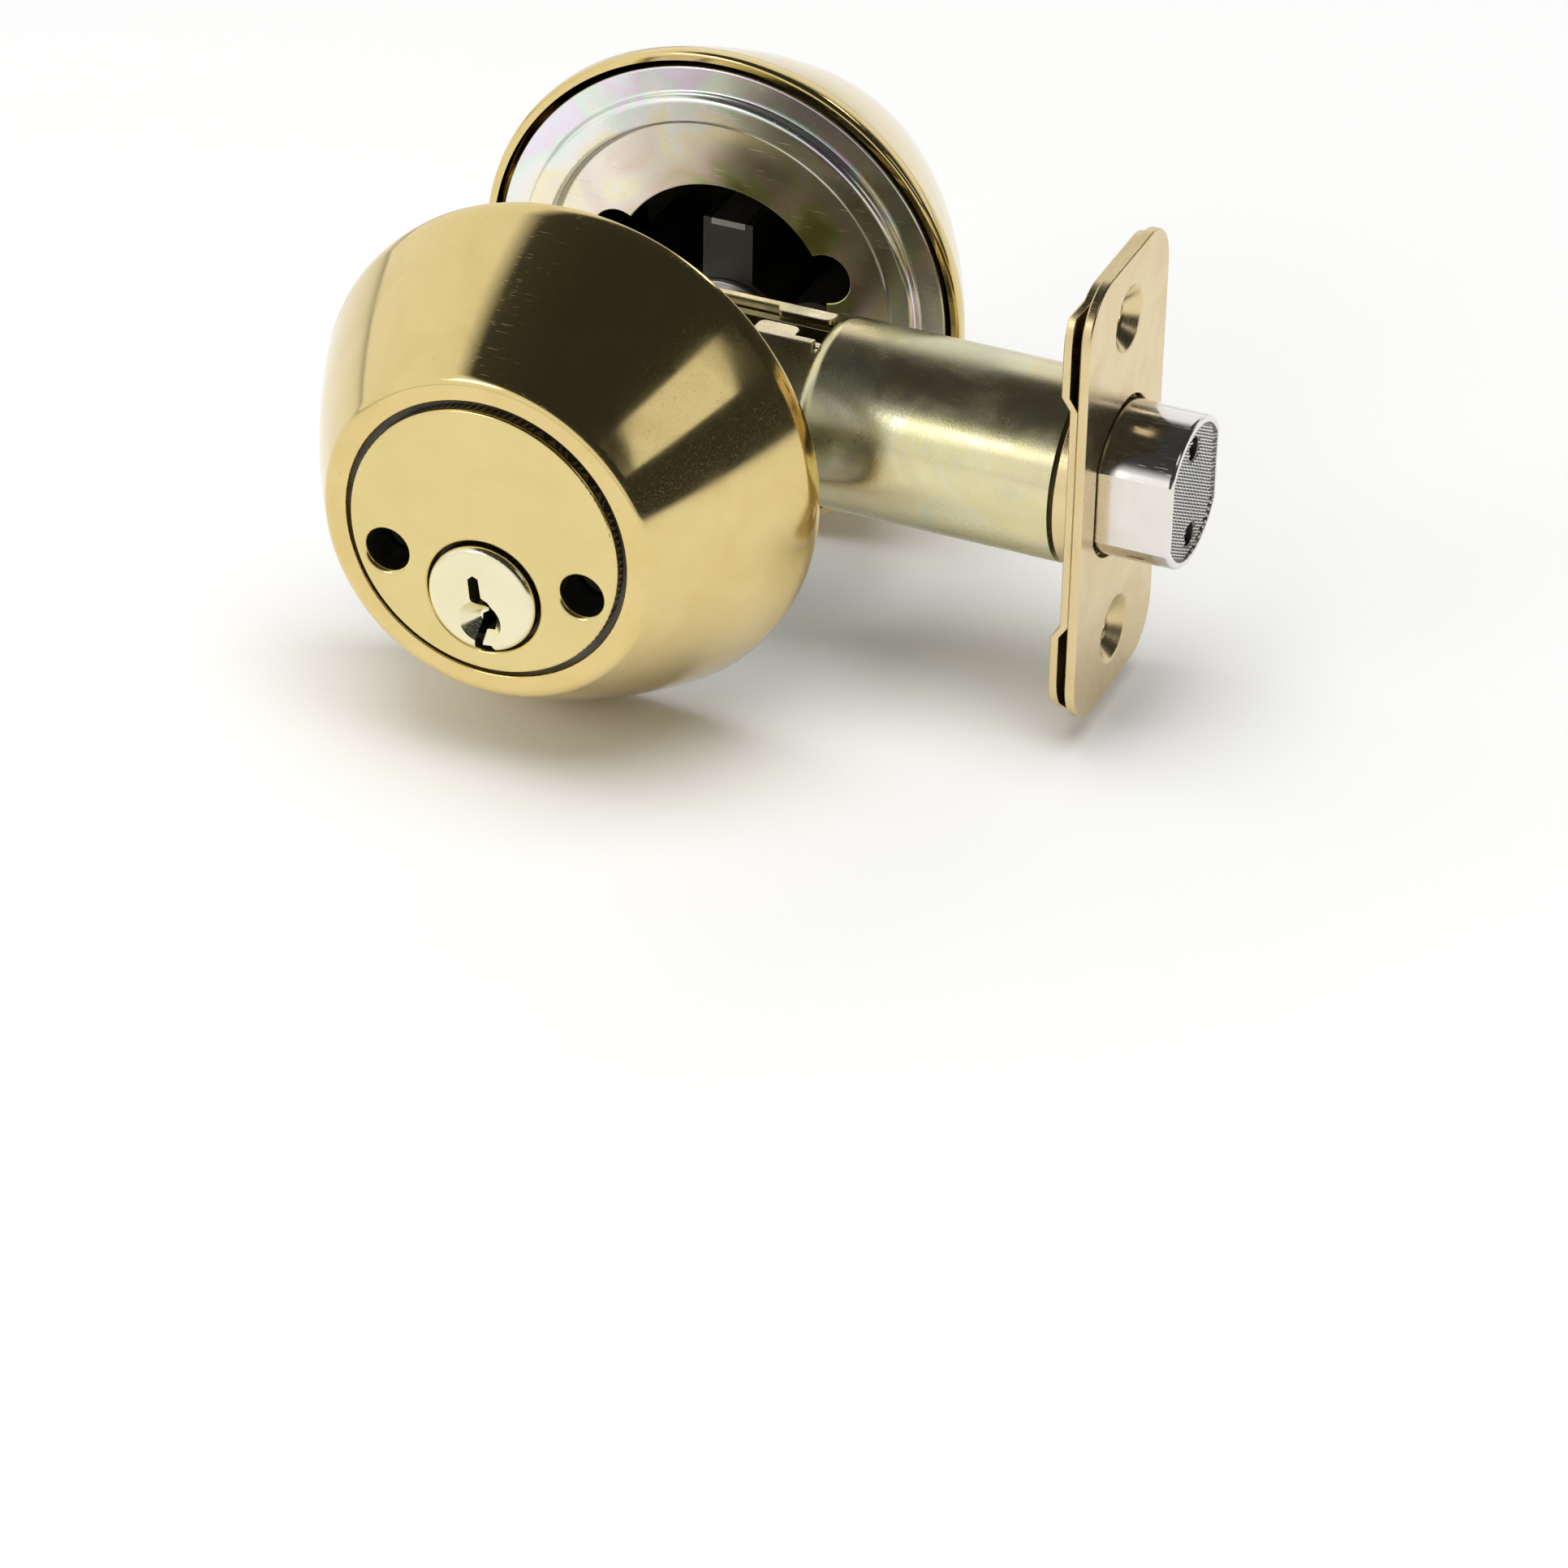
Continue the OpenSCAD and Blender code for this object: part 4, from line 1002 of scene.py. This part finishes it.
@dataclass
class Bolt:
    """The moving bolt, with a bordered field of small studs on its end and two rods inside."""

    tip: float = 69.3
    length: float = 34.0
    radius: float = 9.25
    flat_half: float = 8.05
    edge_round: float = 0.5
    border: float = 0.9
    recess: float = 0.45
    rod_half: float = 5.7
    rod_r: float = 1.45
    rod_depth: float = 2.0
    stud_pitch: float = 0.74
    stud_r: float = 0.27
    stud_h: float = 0.3

    def build(self) -> list[bpy.types.Object]:
        """Builds the bolt, then its studs."""
        mesh = bmesh.new()
        rear = bolt_outline(mesh, self.radius, self.flat_half, self.tip - self.length)
        bmesh.ops.contextual_create(mesh, geom=loop_edges(rear))
        front = raise_loop(mesh, rear, self.length)
        bmesh.ops.contextual_create(mesh, geom=loop_edges(front))
        bmesh.ops.bevel(mesh, geom=loop_edges(front), offset=self.edge_round, offset_type="OFFSET",
                        segments=4, profile=0.5, affect="EDGES", material=-1, clamp_overlap=True)
        cap = [face for face in mesh.faces
               if face.calc_center_median().z > self.tip - 1e-4 and len(face.verts) > 8]
        bmesh.ops.inset_region(mesh, faces=cap, thickness=self.border - self.edge_round, use_even_offset=True)
        sunk = bmesh.ops.extrude_face_region(mesh, geom=cap)["geom"]
        floor = [item for item in sunk if isinstance(item, BMVert)]
        bmesh.ops.translate(mesh, vec=(0, 0, -self.recess), verts=floor)
        bmesh.ops.delete(mesh, geom=cap, context="FACES_ONLY")
        lids = [item for item in sunk if isinstance(item, bmesh.types.BMFace)]
        bmesh.ops.delete(mesh, geom=lids, context="FACES_ONLY")
        bores = [circle(mesh, self.rod_r, self.tip - self.recess, (0, side * self.rod_half), 40)
                 for side in (-1, 1)]
        before = set(mesh.faces)
        fill_between(mesh, floor, *bores)
        # The recess floor between the studs gets the near-black nickel, painted shade between them.
        for face in set(mesh.faces) - before:
            face.material_index = 1
        for bore in bores:
            foot = raise_loop(mesh, bore, self.recess - self.rod_depth - 0.4)
            bmesh.ops.contextual_create(mesh, geom=loop_edges(foot))
        made = Piece("bolt_body", ("bolt",), "bolt_unit").finish(
            mesh, [BOLT_NICKEL, SHADED_FIELD_NICKEL], ALONG_BOLT, corner=20)
        return [made, self.studs()]

    def in_field(self, x: float, y: float) -> bool:
        """Tells whether a stud fits at a place inside the border and clear of the rods."""
        edge = self.border + self.stud_r
        clear = min(math.hypot(x, y - side * self.rod_half) for side in (-1, 1)) > self.rod_r + self.stud_r
        return math.hypot(x, y) < self.radius - edge and abs(x) < self.flat_half - edge and clear

    def studs(self) -> bpy.types.Object:
        """Sets staggered rows of small blunt studs in the recess."""
        mesh = bmesh.new()
        rows = int(self.radius / (self.stud_pitch * ROW_RISE))
        middle = self.tip - self.recess + self.stud_h / 2 - 0.02
        for row in range(-rows, rows + 1):
            y = row * self.stud_pitch * ROW_RISE
            shift = 0.5 * (row % 2)
            for column in range(-14, 15):
                x = (column + shift) * self.stud_pitch
                if self.in_field(x, y):
                    bmesh.ops.create_cone(mesh, cap_ends=True, segments=7, radius1=self.stud_r,
                                          radius2=self.stud_r * 0.45, depth=self.stud_h,
                                          matrix=Matrix.Translation((x, y, middle)))
        return Piece("bolt_end_studs", (), "bolt_unit").finish(mesh, [STUD_NICKEL], ALONG_BOLT, corner=70)


@dataclass
class BoltUnit:
    """The tube, plates, case, cam and tail between the two halves."""

    sleeve_to: float = 56.0

    def build(self) -> list[bpy.types.Object]:
        """Builds the plates and the bolt, and carries the rest over."""
        made = [Faceplate().build(), *Bolt().build()]
        # Faces short of sleeve_to, the sleeve in the gap, get the near-black painted shade finish.
        made.append(carried("face_backplate", [SATIN_BRASS, SLEEVE_PAINTED_SHADE], edge=0.12, corner=40,
                            choose=lambda middle: int(middle.x < self.sleeve_to)))
        made.append(carried("bolt_tube", [YELLOW_ZINC], corner=40))
        for plate in ("case_plate_near", "case_plate_far"):
            made.append(carried(plate, [CASE_ZINC], edge=0.12, corner=40))
        made.append(carried("bolt_tail", [CASE_ZINC], edge=0.1, corner=40))
        made.append(carried("bolt_cam", [CASE_ZINC], edge=0.1, corner=40))
        for small in ("cam_pin", "case_rivets", "case_spacers"):
            made.append(carried(small, [PLAIN_STEEL], edge=0.1, corner=40))
        made.append(carried("anti_saw_rods", [HARD_STEEL], edge=0.1, corner=40))
        dress("tail_rivet", PLAIN_STEEL)
        dress("detent_spring", SPRING_STEEL)
        return made


class Fasteners:
    """The threaded posts of the exterior half and the through bolts that pull the halves together."""

    def build(self) -> list[bpy.types.Object]:
        """Carries both over, with their edges broken."""
        return [carried("threaded_posts", [PLAIN_STEEL], edge=0.15, corner=40),
                carried("through_bolts", [DARK_STEEL], edge=0.1, corner=40)]


# ---------------------------------------------------------------- studio


@dataclass
class Panel:
    """A soft light panel that faces the object.

    Args:
        name: Name of the light.
        place: Its place, in metres.
        size: Its width and height, in metres.
        power: Its power, in watts.
        shows: Whether it shows in polished metal.
    """

    name: str
    place: tuple[float, float, float]
    size: tuple[float, float]
    power: float
    shows: bool = True

    def build(self, target: Vector) -> bpy.types.Object:
        """Hangs the panel and turns it to a target."""
        lamp = bpy.data.lights.new(self.name, "AREA")
        lamp.shape = "RECTANGLE"
        lamp.size, lamp.size_y = self.size
        lamp.energy = self.power
        made = bpy.data.objects.new(self.name, lamp)
        bpy.context.scene.collection.objects.link(made)
        made.location = self.place
        made.rotation_euler = (target - made.location).to_track_quat("-Z", "Y").to_euler()
        made.visible_glossy = self.shows
        return made


@dataclass
class Studio:
    """A pale floor, soft panels, a room that is light at eye level and dark overhead, and the camera."""

    eye: tuple[float, float, float] = (0.27487, -0.60764, 0.37166)
    azimuth: float = 22.86
    elevation: float = 32.83
    roll: float = 1.14
    lens: float = 147.2
    floor_z: float = -0.0316
    panels: tuple[Panel, ...] = field(default_factory=lambda: (
        Panel("Overhead panel", (0.1, -0.2, 1.5), (1.4, 1.4), 22.0, shows=False),
        Panel("Right panel", (1.15, -0.08, 0.76), (0.42, 0.5), 0.55),
        Panel("Front panel", (-0.55, -0.95, 0.66), (0.42, 0.24), 1.1),
        Panel("Back panel", (0.30, 1.02, 0.70), (0.30, 0.10), 0.35),
    ))

    def camera(self) -> bpy.types.Object:
        """Places the camera at its viewing angle."""
        az, el, roll = (math.radians(value) for value in (self.azimuth, self.elevation, self.roll))
        back = Vector((math.sin(az) * math.cos(el), -math.cos(az) * math.cos(el), math.sin(el)))
        right = (-back).cross(Vector((0, 0, 1))).normalized()
        up = right.cross(-back)
        across = right * math.cos(roll) + up * math.sin(roll)
        above = up * math.cos(roll) - right * math.sin(roll)
        data = bpy.data.cameras.new("Camera")
        data.lens, data.sensor_width, data.sensor_height = self.lens, 36.0, 36.0
        data.clip_start, data.clip_end = 0.01, 50.0
        made = bpy.data.objects.new("Camera", data)
        bpy.context.scene.collection.objects.link(made)
        made.matrix_world = Matrix.Translation(self.eye) @ Matrix((across, above, back)).transposed().to_4x4()
        bpy.context.scene.camera = made
        return made

    def floor(self) -> bpy.types.Object:
        """Lays the floor, with a faint unevenness in its paint."""
        mesh = bmesh.new()
        bmesh.ops.create_grid(mesh, x_segments=4, y_segments=4, size=6.0,
                              matrix=Matrix.Translation((0, 0, self.floor_z)))
        data = bpy.data.meshes.new("floor")
        mesh.to_mesh(data)
        mesh.free()
        made = bpy.data.objects.new("floor", data)
        bpy.context.scene.collection.objects.link(made)
        paint = bpy.data.materials.new("Floor paint")
        paint.use_nodes = True
        graph = Graph(paint.node_tree)
        shader = paint.node_tree.nodes["Principled BSDF"]
        shader.inputs["Roughness"].default_value = 0.9
        shader.inputs["Specular IOR Level"].default_value = 0.1
        at = graph.node("ShaderNodeTexCoord").outputs["Object"]
        uneven = graph.noise(at, 3.0, 2.0)
        graph.feed(shader.inputs["Base Color"], graph.mix(uneven, (0.93, 0.93, 0.925), (0.95, 0.95, 0.948)))
        data.materials.append(paint)
        return made

    def room(self) -> None:
        """Makes the room: light at eye level, dark overhead."""
        world = bpy.data.worlds.new("Room")
        world.use_nodes = True
        world.node_tree.nodes.clear()
        graph = Graph(world.node_tree)
        facing = graph.node("ShaderNodeTexCoord").outputs["Generated"]
        parts = graph.node("ShaderNodeSeparateXYZ", None, Vector=facing)
        lean = graph.math("MULTIPLY", parts.outputs["X"], 0.6)
        ramp = graph.node("ShaderNodeValToRGB", None, Fac=graph.math("ADD", parts.outputs["Z"], lean))
        stops = ramp.color_ramp.elements
        for index, (place, grey) in enumerate(((0.0, 1.0), (0.40, 0.95), (0.56, 0.05), (1.0, 0.035))):
            stop = stops[index] if index < 2 else stops.new(place)
            stop.position = place
            stop.color = (grey, grey, grey * 0.985, 1.0)
        light = graph.node("ShaderNodeBackground", None, Color=ramp.outputs[0], Strength=1.0)
        output = graph.node("ShaderNodeOutputWorld")
        graph.feed(output.inputs["Surface"], light.outputs[0])
        bpy.context.scene.world = world

    def build(self) -> None:
        """Sets up the floor, room, panels and camera."""
        self.floor()
        self.room()
        for panel in self.panels:
            panel.build(Vector((0.0, 0.0, 0.0)))
        self.camera()
        bpy.context.scene.view_settings.view_transform = "Standard"


def main() -> None:
    """Builds every sub-assembly in order, then the studio."""
    logging.basicConfig(level=logging.INFO, format="%(name)s: %(message)s")
    for half in Half:
        Collar(half).build()
        BackingPlate(half).build()
        Cylinder(half).build()
    BoltUnit().build()
    Fasteners().build()
    Studio().build()
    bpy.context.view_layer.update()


if __name__ == "__main__":
    main()
